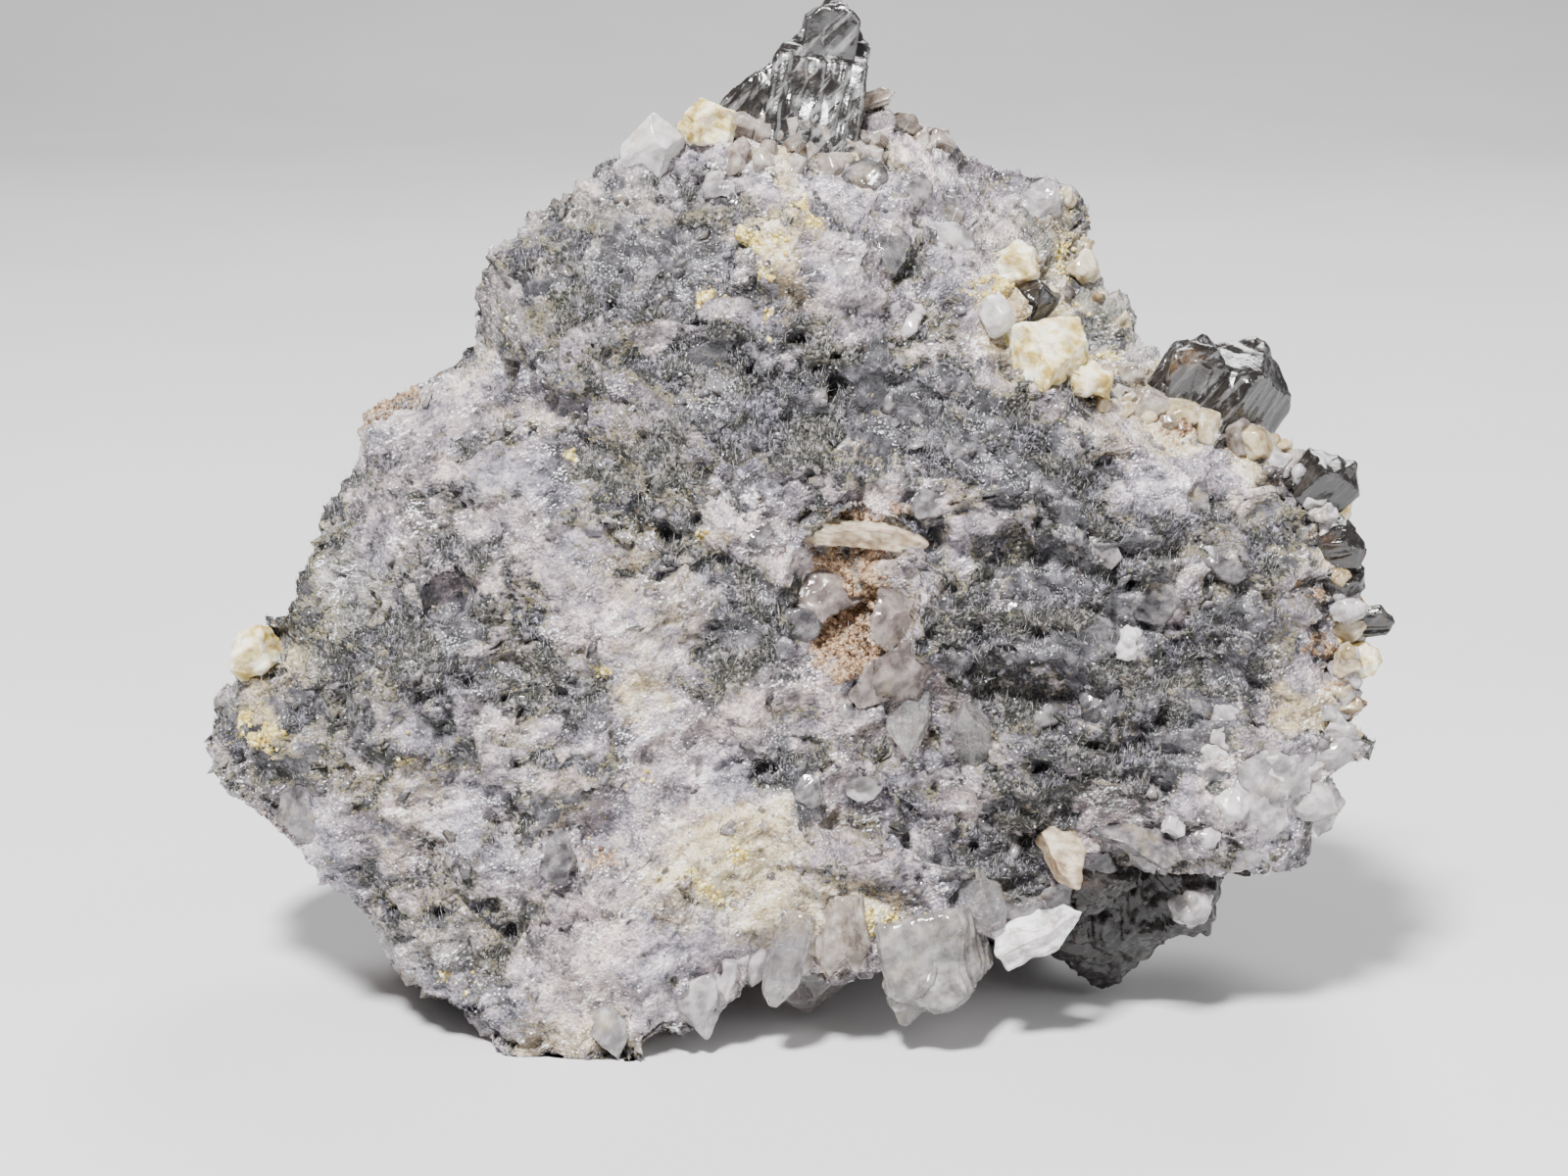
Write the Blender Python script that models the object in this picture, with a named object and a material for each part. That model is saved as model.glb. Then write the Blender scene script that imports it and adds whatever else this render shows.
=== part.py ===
"""Cassiterite specimen: a hand-sized piece of quartz and tourmaline rock that stands on three feet.

Black cassiterite crystals sit in its top, its right side and its back. Quartz points grow along the
lower edge and between the crystals of the back, and cream feldspar fills the seams.

Sizes are in millimetres and the meshes are written in metres, +Z up. Shapes are laid out on the broken
face, which leans back from the viewer: u runs right along it, w runs up it, and d goes back from it.
"""

import math

import bmesh
import bpy
import numpy as np
from mathutils import Matrix, Vector

MM = 0.001
GOLDEN_ANGLE = math.pi * (3 - math.sqrt(5))

# The face leans back by LEAN, its u = w = 0 is FACE_TO_FLOOR up the slope from the floor, and CENTRE is the
# middle of the whole specimen's base, which becomes the origin.
LEAN = math.radians(14.0)
READ_DISTANCE = 174.0
FACE_TO_FLOOR = 28.0
CENTRE = (0.45, 12.24, 0.0)

# The rock: its depth at the heart and how much that grows for each millimetre down, the heart that the
# rings of the grid shrink to, the cells of the grid, and how it bends over at the rim.
BODY_DEPTH = 24.5
BODY_TAPER = 0.15
HEART = (0.0, -1.1)
BODY_CELLS = 31
FACE_BEND = 5
WALL_REACH = 0.5
WALL_DEPTH = 0.6

# Broken surfaces: height, size, tilt and salt of each set of scallops. The rim holds still by RIM_HOLD.
BREAKS = [(2.0, 8.0, 1.2, 3), (0.9, 4.2, 1.3, 11)]
BACK_BREAKS = (3.0, 15.0, 1.6, 21)
UNDERSIDE_BREAKS = (0.9, 4.0, 1.0, 40)
SCALLOP_MIDDLE = 0.35
RIM_HOLD = 0.7

SOCKET_GAP = 0.3

# The edge of the rock seen from the face, from its right end counter-clockwise: u, w and depth.
RIM = [
    (33.0, -1.1, 5.0), (32.4, 1.7, 5.0), (31.6, 4.5, 5.5), (30.5, 6.4, 5.5), (28.7, 7.4, 6.0),
    (27.4, 8.7, 7.0), (25.2, 10.6, 8.0), (22.7, 12.6, 9.0), (20.4, 14.3, 12.0), (19.3, 16.5, 14.0),
    (17.6, 18.2, 15.0), (17.5, 21.3, 16.0), (16.5, 23.0, 16.0), (14.6, 23.8, 16.0), (12.3, 24.1, 14.0),
    (10.4, 25.2, 12.0), (8.4, 26.6, 9.0), (6.7, 27.6, 8.0), (1.7, 27.8, 8.0), (-3.1, 27.5, 7.5),
    (-6.4, 26.2, 6.5), (-9.2, 25.0, 6.0), (-11.8, 23.6, 5.5), (-13.7, 22.0, 5.5), (-16.0, 20.4, 5.5),
    (-17.2, 19.0, 5.5), (-17.9, 17.4, 6.0), (-18.1, 15.1, 7.0), (-18.4, 13.8, 8.0), (-20.4, 12.0, 8.5),
    (-22.7, 10.5, 9.0), (-24.2, 9.4, 9.0), (-24.4, 7.4, 8.0), (-25.5, 5.9, 7.5), (-26.9, 3.6, 7.0),
    (-28.1, 1.1, 7.0), (-28.9, -1.2, 7.5), (-30.4, -2.8, 9.0), (-31.1, -4.8, 9.0), (-32.8, -6.4, 9.0),
    (-33.5, -8.7, 9.5), (-33.2, -10.6, 9.0), (-31.6, -12.3, 8.0), (-29.8, -13.7, 6.5), (-28.0, -15.2, 5.5),
    (-25.5, -17.1, 5.0), (-24.1, -18.5, 4.5), (-22.7, -20.7, 4.0), (-20.4, -23.1, 4.0), (-17.9, -25.2, 3.5),
    (-15.8, -27.2, 3.0), (-13.4, -27.6, 3.0), (-11.2, -27.2, 2.5), (-8.7, -27.9, 2.5), (-7.4, -26.0, 2.5),
    (-5.6, -25.9, 2.5), (-3.6, -24.2, 2.5), (-1.7, -22.4, 2.5), (1.1, -22.4, 3.0), (3.6, -22.6, 3.0),
    (5.9, -22.0, 3.0), (9.0, -20.8, 3.5), (11.4, -20.0, 3.5), (13.6, -19.8, 4.0), (15.7, -18.6, 4.5),
    (17.9, -16.5, 5.0), (20.4, -15.7, 5.0), (23.2, -16.3, 5.0), (25.8, -16.2, 4.5), (28.3, -15.9, 4.0),
    (29.8, -14.3, 4.0), (30.1, -12.6, 4.0), (31.4, -10.9, 4.0), (33.6, -9.1, 4.0), (32.9, -7.6, 4.5),
    (32.7, -5.6, 5.0), (33.1, -3.4, 5.0),
]

# Swells and hollows of the broken face: u, w, half length, half width, turn in degrees, height.
SWELLS = [
    (-9.0, -2.2, 8.0, 4.2, 62.0, 1.3), (-12.4, 8.6, 6.0, 3.0, -20.0, -1.1), (3.4, 20.4, 8.0, 7.0, 0.0, 1.7),
    (-14.0, 18.3, 3.4, 2.2, 10.0, 1.0), (0.5, 10.8, 13.0, 3.2, -14.0, -1.4), (7.8, -2.4, 2.6, 3.6, 15.0, 1.6),
    (13.6, -6.4, 6.5, 2.8, 0.0, -1.7), (28.0, -11.2, 4.5, 5.0, 0.0, 1.0), (-15.7, -10.0, 3.4, 3.2, 0.0, 1.2),
    (-30.4, -7.6, 3.4, 3.0, 0.0, 1.4), (-30.0, -11.0, 2.2, 1.2, 20.0, -1.7), (-11.2, -14.6, 4.2, 2.4, 30.0, -1.2),
    (-4.8, -16.0, 6.0, 3.6, 20.0, 1.2), (11.2, -14.0, 5.0, 3.4, -20.0, -1.6), (12.4, 1.2, 5.0, 3.2, -10.0, -1.2),
    (20.0, 3.0, 6.0, 4.0, -30.0, 0.9), (-22.5, -4.5, 5.0, 6.0, 0.0, 0.9), (-19.3, -0.4, 1.4, 1.4, 0.0, -1.5),
    (24.0, -5.5, 4.5, 3.0, 10.0, -0.9), (-25.0, -14.0, 5.0, 2.6, 35.0, 0.8), (21.0, 8.4, 5.5, 2.0, -25.0, 1.3),
    (3.4, -13.4, 3.2, 2.4, 20.0, -1.3), (4.6, -10.4, 2.2, 1.8, 0.0, 1.3), (-21.0, 8.2, 3.6, 2.4, 40.0, 1.1),
]
POCKET = (3.7, -0.4, 3.6, 4.8, -18.0, -3.4)

# The step behind which the upper right shoulder lies deeper than the face.
SHOULDER_FROM = (7.8, 27.4)
SHOULDER_TO = (15.4, 11.2)
SHOULDER_STEP = 8.0

# Feet on which the rock stands: u, d and the radius of each. They dip below the floor and are cut flat.
FEET = [(-12.0, 4.4, 5.4), (13.0, 23.5, 5.6), (-13.5, 24.5, 6.0)]
FOOT_DIP = 0.8
FOOT_HEIGHT = (5.0, 9.0)
UNDERSIDE_GAP = 1.5
INLAND_REACH = 0.18


def world(u, w, d):
    """Layout to room. Depth spreads u and w, because the rim was read off the face from READ_DISTANCE."""
    spread = 1 + np.asarray(d) / READ_DISTANCE
    across, up = u * spread, w * spread
    y = up * math.sin(LEAN) + d * math.cos(LEAN)
    z = (up + FACE_TO_FLOOR) * math.cos(LEAN) - d * math.sin(LEAN)
    return np.stack(np.broadcast_arrays(across, y, z), axis=-1)


def heading(right, up, back):
    """The room direction of a layout direction."""
    turned = (right, up * math.sin(LEAN) + back * math.cos(LEAN), up * math.cos(LEAN) - back * math.sin(LEAN))
    return Vector(turned).normalized()


def scatter(cell, salt):
    """A repeatable number from 0 to 1 for each whole-numbered cell of space."""
    mixed = cell.astype(np.int64) @ np.array([73856093, 19349663, 83492791]) + salt * 15485863
    mixed = (mixed ^ (mixed >> 13)) * 1274126177 & 0x7FFFFFFF
    return ((mixed ^ (mixed >> 15)) & 0xFFFFFF) / 0xFFFFFF


def neighbour_seeds(points, size, salt):
    """For the 27 cells round each point: the way from the cell's seed to the point, and its two numbers."""
    cell = np.floor(points / size)
    for shift in np.ndindex(3, 3, 3):
        near = cell + np.array(shift) - 1
        seed = near + np.stack([scatter(near, salt + k) for k in range(3)], axis=-1)
        yield points / size - seed, near


def scallops(points, height, size, tilt, salt):
    """Broken rock: the lowest of shallow tilted bowls, one about each seed, which meet in sharp ridges."""
    lowest = np.full(len(points), np.inf)
    for away, near in neighbour_seeds(points, size, salt):
        slope = np.stack([scatter(near, salt + k) - 0.5 for k in (5, 6, 7)], axis=-1)
        bowl = (away**2).sum(axis=-1) + tilt * (away * slope).sum(axis=-1)
        lowest = np.minimum(lowest, bowl)
    return height * (lowest - SCALLOP_MIDDLE)


def swell(u, w, patch):
    """A rounded swell of one patch's height that fades to nothing at the patch's edge."""
    centre_u, centre_w, half_length, half_width, turn, height = patch
    angle = math.radians(turn)
    along = ((u - centre_u) * math.cos(angle) + (w - centre_w) * math.sin(angle)) / half_length
    across = ((w - centre_w) * math.cos(angle) - (u - centre_u) * math.sin(angle)) / half_width
    return height * np.clip(1 - along**2 - across**2, 0, 1) ** 1.5


def smooth_step(value, low, high):
    """0 below low, 1 above high, and an even curve between them."""
    share = np.clip((value - low) / (high - low), 0, 1)
    return share * share * (3 - 2 * share)


def shoulder(u, w):
    """How far the upper right shoulder steps back behind the face."""
    start, end = np.array(SHOULDER_FROM), np.array(SHOULDER_TO)
    run = (end - start) / np.linalg.norm(end - start)
    beyond = -(u - start[0]) * run[1] + (w - start[1]) * run[0]
    return SHOULDER_STEP * smooth_step(beyond, 0.0, 2.4) * smooth_step(w, 9.5, 13.0)


def square_rings(cells):
    """A square grid of points as rings: each point's ring, 0 at the middle and 1 at the rim, and its
    share of the way round, which is even along every ring."""
    line = np.linspace(-1, 1, cells + 1)
    a, b = np.meshgrid(line, line)
    ring = np.maximum(abs(a), abs(b))
    safe = np.where(ring == 0, 1, ring)
    side = np.where(a > 0, b / safe / 8, 0.5 - b / safe / 8)
    end = np.where(b > 0, 0.25 - a / safe / 8, 0.75 + a / safe / 8)
    return ring, np.where(abs(a) >= abs(b), side, end) % 1


def rim_at(share):
    """The rim's u, w and depth at a share of its length, straight between the points of RIM."""
    rim = np.array(RIM + RIM[:1])
    gone = np.concatenate([[0], np.cumsum(np.linalg.norm(np.diff(rim[:, :2], axis=0), axis=1))])
    return [np.interp(share, gone / gone[-1], rim[:, k]) for k in range(3)]


def front_sheet(ring, share):
    """The broken face: flat in the middle, bending back to the rim, with its swells and hollows."""
    rim_u, rim_w, rim_d = rim_at(share)
    u = HEART[0] + ring * (rim_u - HEART[0])
    w = HEART[1] + ring * (rim_w - HEART[1])
    bend = ring**FACE_BEND
    relief = sum(swell(u, w, patch) for patch in SWELLS + [POCKET])
    return world(u, w, rim_d * bend + (shoulder(u, w) - relief) * (1 - bend))


def back_sheet(ring, share):
    """The back: a wall that leaves the rim and rounds over to a back that is deeper towards the foot."""
    rim_u, rim_w, rim_d = rim_at(share)
    turn = (1 - ring) * math.pi / 2
    reach = np.where(ring == 0, 0, np.cos(turn) ** WALL_REACH)
    u = HEART[0] + reach * (rim_u - HEART[0])
    w = HEART[1] + reach * (rim_w - HEART[1])
    deepest = BODY_DEPTH - BODY_TAPER * w
    return world(u, w, rim_d + (deepest - rim_d) * np.sin(turn) ** WALL_DEPTH)


def closed_grid(cells):
    """Points and triangles of the two sheets, which share the points of their rim, with each point's ring
    and whether it is on the back."""
    ring, share = square_rings(cells)
    front = np.arange((cells + 1) ** 2).reshape(cells + 1, cells + 1)
    inner = np.zeros_like(front, dtype=bool)
    inner[1:-1, 1:-1] = True
    back = front.copy()
    back[inner] = front.size + np.arange(inner.sum())
    points = np.concatenate([front_sheet(ring, share).reshape(-1, 3), back_sheet(ring, share)[inner]])
    faces = np.concatenate([triangles(front), triangles(back)[:, ::-1]])
    rings = np.concatenate([ring.reshape(-1), ring[inner]])
    return points, faces, rings, np.arange(len(points)) >= front.size


def triangles(index):
    """Two triangles for each cell of a grid of point numbers, split along the diagonal that turns in."""
    a, b, c, d = index[:-1, :-1], index[:-1, 1:], index[1:, 1:], index[1:, :-1]
    rows, columns = np.indices(a.shape)
    half = (index.shape[0] - 1) / 2
    inward = (rows < half) == (columns < half)
    first = np.where(inward[..., None], np.stack([a, b, c], -1), np.stack([a, b, d], -1))
    second = np.where(inward[..., None], np.stack([a, c, d], -1), np.stack([b, c, d], -1))
    return np.concatenate([first.reshape(-1, 3), second.reshape(-1, 3)])


def outward(points, faces):
    """The unit normal at each point: the sum of the normals of the triangles round it."""
    corners = points[faces]
    flat = np.cross(corners[:, 1] - corners[:, 0], corners[:, 2] - corners[:, 0])
    total = np.zeros_like(points)
    for k in range(3):
        np.add.at(total, faces[:, k], flat)
    return total / np.linalg.norm(total, axis=1, keepdims=True)


def stand_on_feet(points, inland):
    """The underside: kept clear of the floor, apart from the feet, which are drawn down below it. Only the
    back moves, which inland marks by 1: 0 is the face and the rim."""
    clear = UNDERSIDE_GAP + scallops(points * [1, 1, 0], *UNDERSIDE_BREAKS)
    height = np.maximum(points[:, 2], clear)
    low = 1 - smooth_step(height, *FOOT_HEIGHT)
    for foot_u, foot_d, radius in FEET:
        floor_w = (foot_d * math.tan(LEAN) - FACE_TO_FLOOR) / (1 + foot_d / READ_DISTANCE)
        off = np.linalg.norm(points[:, :2] - world(foot_u, floor_w, foot_d)[:2], axis=1)
        foot = low * (1 - smooth_step(off, 0.5 * radius, radius))
        height = height - foot * (height + FOOT_DIP)
    points[:, 2] += inland * (height - points[:, 2])
    return points


def rock_body():
    """Points and triangles of the rock: both sheets, broken into scallops along their normals."""
    points, faces, ring, on_back = closed_grid(BODY_CELLS)
    breaks = sum(scallops(points, *each) for each in BREAKS) + on_back * scallops(points, *BACK_BREAKS)
    points = points + outward(points, faces) * (breaks * (1 - RIM_HOLD * ring**8))[:, None]
    inland = on_back * smooth_step(1 - ring, 0.0, INLAND_REACH)
    return stand_on_feet(points, inland) - CENTRE, faces


def material(name, colour, roughness, metallic=0.0):
    """A plain finish for one mineral."""
    made = bpy.data.materials.new(name)
    made.use_nodes = True
    shader = made.node_tree.nodes["Principled BSDF"]
    shader.inputs["Base Color"].default_value = (*colour, 1)
    shader.inputs["Roughness"].default_value = roughness
    shader.inputs["Metallic"].default_value = metallic
    return made


def prism(across, length, sides=4, slope=45.0, uneven=0.08, phase=0.0):
    """A crystal's faces as (direction, distance) about its middle, +Z along it: the sides of a prism, a
    pyramid at the free end and a flat end where it is rooted. Each face stands a little in or out."""
    faces = [(Vector((0, 0, -1)), length / 2)]
    lean = math.radians(slope)
    for k in range(sides):
        turn = 2 * math.pi * k / sides
        half = math.hypot(across[0] * math.cos(turn), across[1] * math.sin(turn)) / 2
        shift = 1 + uneven * math.sin(2.4 * k + phase)
        faces.append((Vector((math.cos(turn), math.sin(turn), 0)), half * shift))
        pyramid = Vector((math.cos(turn) * math.sin(lean), math.sin(turn) * math.sin(lean), math.cos(lean)))
        tip = length / 2 * (1 - 1.5 * uneven * (1 + math.sin(1.7 * k + phase)))
        faces.append((pyramid, tip * math.cos(lean)))
    return faces


def lump(across, length, count=16, uneven=0.1, phase=0.0):
    """A blunt grain's faces: directions spread evenly in a spiral, at the distances of an egg's sides."""
    faces = []
    for k in range(count):
        height = 1 - (2 * k + 1) / count
        turn = GOLDEN_ANGLE * k + phase
        level = math.sqrt(1 - height * height)
        way = Vector((level * math.cos(turn), level * math.sin(turn), height))
        half = Vector((way.x * across[0], way.y * across[1], way.z * length)).length / 2
        faces.append((way, half * (1 + uneven * math.sin(3.1 * k + phase))))
    return faces


def cluster(across, length, spot, axis, roll, count, phase):
    """A cassiterite crystal and the smaller ones round its foot, which lean away from it."""
    way = Vector(axis).normalized()
    side = way.cross(Vector((0, 1, 0))).normalized()
    members = [(prism(across, length, 4, 44.0, 0.08, phase), spot, axis, roll)]
    for k in range(count):
        turn = GOLDEN_ANGLE * k + phase
        away = math.cos(turn) * side + math.sin(turn) * way.cross(side)
        share = 0.68 - 0.07 * k
        foot = Vector(spot) + 0.5 * across[0] * away - 0.16 * length * way
        faces = prism((share * across[0], share * across[1]), share * length, 4, 41.0, 0.10, phase + k)
        members.append((faces, tuple(foot), tuple(way + 0.55 * away), roll + 35 * k))
    return members


def cut_block(faces, margin=0.0):
    """A block cut back to the inner side of every face, each face first moved out by the margin."""
    reach = 4 * max(distance for _, distance in faces)
    solid = bmesh.new()
    bmesh.ops.create_cube(solid, size=2 * reach)
    for way, distance in faces:
        geometry = solid.verts[:] + solid.edges[:] + solid.faces[:]
        cut = bmesh.ops.bisect_plane(
            solid, geom=geometry, dist=1e-5, plane_co=way * (distance + margin), plane_no=way, clear_outer=True
        )
        edges = [part for part in cut["geom_cut"] if isinstance(part, bmesh.types.BMEdge)]
        if edges:
            bmesh.ops.contextual_create(solid, geom=edges)
    bmesh.ops.triangulate(solid, faces=solid.faces[:])
    bmesh.ops.recalc_face_normals(solid, faces=solid.faces[:])
    bmesh.ops.scale(solid, vec=(MM, MM, MM), verts=solid.verts)
    return solid


def placed(name, faces, spot, axis, roll, margin=0.0):
    """A crystal as an object: its middle at a spot of the layout, its +Z along an axis of the layout."""
    mesh = bpy.data.meshes.new(name)
    solid = cut_block(faces, margin)
    solid.to_mesh(mesh)
    solid.free()
    made = bpy.data.objects.new(name, mesh)
    turn = heading(*axis).to_track_quat("Z", "Y").to_matrix() @ Matrix.Rotation(math.radians(roll), 3, "Z")
    made.rotation_mode = "QUATERNION"
    made.rotation_quaternion = turn.to_quaternion()
    made.location = Vector(world(*spot) - CENTRE) * MM
    return made


def helper(made, collection):
    """Keeps a cutter or a shape to be joined out of the model."""
    made.hide_render = True
    made.display_type = "WIRE"
    collection.objects.link(made)


def combine(made, operation, collection):
    """Joins or cuts the object with every helper of the collection."""
    boolean = made.modifiers.new(operation.lower() + "_" + collection.name, "BOOLEAN")
    boolean.operation = operation
    boolean.operand_type = "COLLECTION"
    boolean.collection = collection


def new_collection(name):
    """An empty collection in the scene."""
    made = bpy.data.collections.new(name)
    bpy.context.scene.collection.children.link(made)
    return made


# Every seated crystal or cluster: name, finish, and its members as (faces, spot, axis, roll).
SEATED = [
    ("cassiterite_top", "cassiterite", [
        (prism((5.6, 5.4), 11.6, 4, 54.0, 0.10, 0.4), (2.1, 29.2, 8.5), (0.14, 0.95, 0.05), 28),
        (prism((4.6, 4.4), 8.4, 4, 44.0, 0.12, 2.0), (-0.2, 28.0, 8.0), (0.42, 0.86, -0.10), 50),
        (prism((2.8, 3.0), 5.0, 4, 38.0, 0.10, 1.0), (2.5, 31.8, 7.0), (0.12, 0.95, -0.25), 10),
    ]),
    ("cassiterite_right", "cassiterite", [
        (prism((6.2, 5.8), 8.8, 4, 44.0, 0.08, 0.9), (25.2, 11.4, 8.8), (0.50, 0.82, -0.05), 35),
        (prism((4.2, 4.4), 6.0, 4, 40.0, 0.10, 2.2), (23.8, 12.3, 8.0), (0.20, 0.93, -0.30), 15),
    ]),
    ("cassiterite_edge_upper", "cassiterite", [
        (prism((3.0, 2.6), 4.2, 4, 42.0, 0.10, 0.2), (31.1, 6.3, 5.0), (0.70, 0.60, -0.30), 30),
    ]),
    ("cassiterite_edge_middle", "cassiterite", [
        (prism((2.8, 2.6), 4.6, 4, 45.0, 0.12, 1.1), (31.8, 2.3, 5.2), (0.93, 0.10, -0.35), 20),
        (prism((2.4, 2.4), 3.8, 4, 40.0, 0.10, 2.7), (31.9, 0.2, 5.4), (0.90, -0.30, -0.30), 20),
    ]),
    ("cassiterite_edge_lower", "cassiterite", [
        (prism((1.3, 1.4), 3.6, 4, 45.0, 0.08, 0.5), (33.4, -1.85, 5.5), (0.95, 0.05, -0.1), 10),
    ]),
    ("cassiterite_lower_right", "cassiterite", [
        (prism((7.2, 6.6), 10.0, 4, 46.0, 0.08, 0.3), (18.4, -19.1, 11.0), (0.05, -0.86, 0.10), 30),
        (prism((5.4, 5.0), 8.0, 4, 42.0, 0.10, 1.6), (22.4, -17.2, 9.0), (0.55, -0.70, -0.10), 10),
        (prism((4.4, 4.2), 6.0, 4, 44.0, 0.10, 2.9), (17.4, -16.8, 6.0), (-0.20, -0.70, -0.62), 50),
    ]),
    ("cassiterite_seam", "cassiterite", [
        (prism((1.9, 1.7), 2.8, 4, 42.0, 0.10, 0.7), (14.4, 16.6, 6.9), (0.25, 0.55, -0.80), 25),
    ]),
    ("cassiterite_back_middle", "cassiterite",
     cluster((8.6, 7.8), 11.0, (0.6, 2.6, 24.9), (0.12, 0.22, 0.96), 20, 3, 0.8)),
    ("cassiterite_back_upper_left", "cassiterite",
     cluster((6.6, 5.8), 8.6, (-8.8, 13.4, 22.2), (-0.35, 0.30, 0.88), 5, 2, 1.4)),
    ("cassiterite_back_upper_right", "cassiterite",
     cluster((6.2, 5.8), 8.6, (8.8, 14.4, 23.0), (0.30, 0.38, 0.86), 40, 2, 2.6)),
    ("cassiterite_back_left", "cassiterite",
     cluster((7.0, 6.4), 9.0, (-17.0, 0.2, 24.0), (-0.45, 0.05, 0.88), 25, 2, 0.1)),
    ("cassiterite_back_right", "cassiterite",
     cluster((7.4, 6.6), 9.0, (17.4, 1.6, 23.4), (0.45, 0.18, 0.86), 12, 2, 1.9)),
    ("cassiterite_back_lower_left", "cassiterite",
     cluster((6.2, 6.8), 8.6, (-8.0, -10.0, 26.4), (-0.15, -0.12, 0.96), 55, 2, 2.4)),
    ("cassiterite_back_lower_right", "cassiterite",
     cluster((5.8, 5.2), 8.0, (10.4, -9.4, 25.6), (0.35, -0.15, 0.90), 30, 2, 0.6)),
    ("quartz_point_hanging", "quartz", [
        (prism((2.2, 2.0), 6.4, 6, 60.0, 0.08, 0.4), (0.0, -21.6, 1.6), (-0.22, -0.96, -0.06), 10),
    ]),
    ("quartz_point_fan", "quartz", [
        (prism((1.9, 1.9), 5.4, 6, 55.0, 0.10, 1.4), (3.0, -20.3, 1.9), (-0.12, -0.98, -0.10), 0),
        (prism((1.9, 2.0), 5.0, 6, 55.0, 0.10, 2.4), (3.8, -20.1, 2.1), (0.14, -0.98, -0.05), 20),
    ]),
    ("quartz_plate_lower", "quartz", [
        (prism((6.6, 3.2), 6.4, 6, 48.0, 0.10, 0.9), (8.7, -21.6, 3.6), (0.10, -0.98, 0.05), 8),
        (prism((3.6, 2.8), 4.6, 6, 50.0, 0.10, 2.0), (7.2, -23.2, 3.0), (-0.10, -0.98, -0.10), 30),
    ]),
    ("quartz_block_shadow", "quartz", [
        (prism((5.0, 4.4), 6.0, 6, 40.0, 0.10, 0.5), (1.6, -22.1, 8.6), (0.10, -0.95, 0.10), 15),
    ]),
    ("quartz_point_middle", "quartz", [
        (prism((2.4, 1.8), 4.4, 6, 58.0, 0.08, 1.2), (7.1, -8.2, 0.9), (0.02, -0.93, -0.34), 12),
    ]),
    ("quartz_point_bright", "quartz", [
        (prism((2.2, 2.0), 4.8, 6, 58.0, 0.08, 2.6), (10.5, -8.0, 0.8), (-0.18, 0.72, -0.62), 18),
    ]),
    ("feldspar_blade_pocket", "feldspar", [
        (prism((1.9, 1.7), 7.2, 4, 55.0, 0.10, 0.3), (4.8, 3.1, 1.3), (0.99, -0.08, -0.04), 8),
    ]),
    ("feldspar_blade_lower", "feldspar", [
        (prism((1.9, 1.5), 4.2, 4, 55.0, 0.10, 1.5), (16.2, -15.6, 2.4), (0.42, -0.82, -0.36), 20),
    ]),
    ("feldspar_wedge_lower", "feldspar", [
        (prism((2.6, 2.0), 5.8, 4, 60.0, 0.10, 2.1), (15.0, -19.3, 3.0), (0.90, 0.34, -0.20), 25),
    ]),
    ("feldspar_lump_cream", "feldspar", [
        (lump((5.8, 4.2), 3.6, 18, 0.08, 0.5), (14.9, 13.0, 4.6), (0.10, 0.20, -0.95), 20),
    ]),
    ("feldspar_lump_yellow", "feldspar", [
        (lump((2.4, 2.2), 2.4, 16, 0.08, 1.5), (13.2, 18.4, 7.7), (0.10, 0.30, -0.90), 0),
    ]),
    ("feldspar_lump_top", "feldspar", [
        (lump((2.9, 2.2), 2.6, 16, 0.08, 2.5), (-4.4, 26.4, 5.5), (0.0, 0.4, -0.9), 10),
    ]),
    ("quartz_lump_top", "quartz", [
        (lump((3.6, 2.6), 3.0, 18, 0.06, 3.5), (-7.6, 25.1, 5.5), (-0.2, 0.5, -0.8), 30),
    ]),
    ("quartz_bead_shoulder", "quartz", [
        (lump((1.8, 2.4), 2.0, 16, 0.06, 0.9), (12.1, 15.6, 3.6), (0.1, 0.2, -0.95), 0),
    ]),
    ("feldspar_bead_edge", "feldspar", [
        (lump((2.0, 2.0), 2.0, 18, 0.03, 0.2), (33.1, -4.1, 5.3), (0.6, 0.1, -0.6), 0),
    ]),
    ("feldspar_plate_edge", "feldspar", [
        (prism((1.3, 1.8), 3.2, 4, 50.0, 0.08, 0.8), (31.6, 4.5, 9.1), (0.45, 0.86, 0.10), 15),
    ]),
    ("feldspar_lump_left", "feldspar", [
        (lump((2.6, 3.0), 2.6, 18, 0.08, 1.1), (-30.3, -3.6, 7.6), (-0.5, 0.3, -0.7), 0),
    ]),
]

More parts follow.
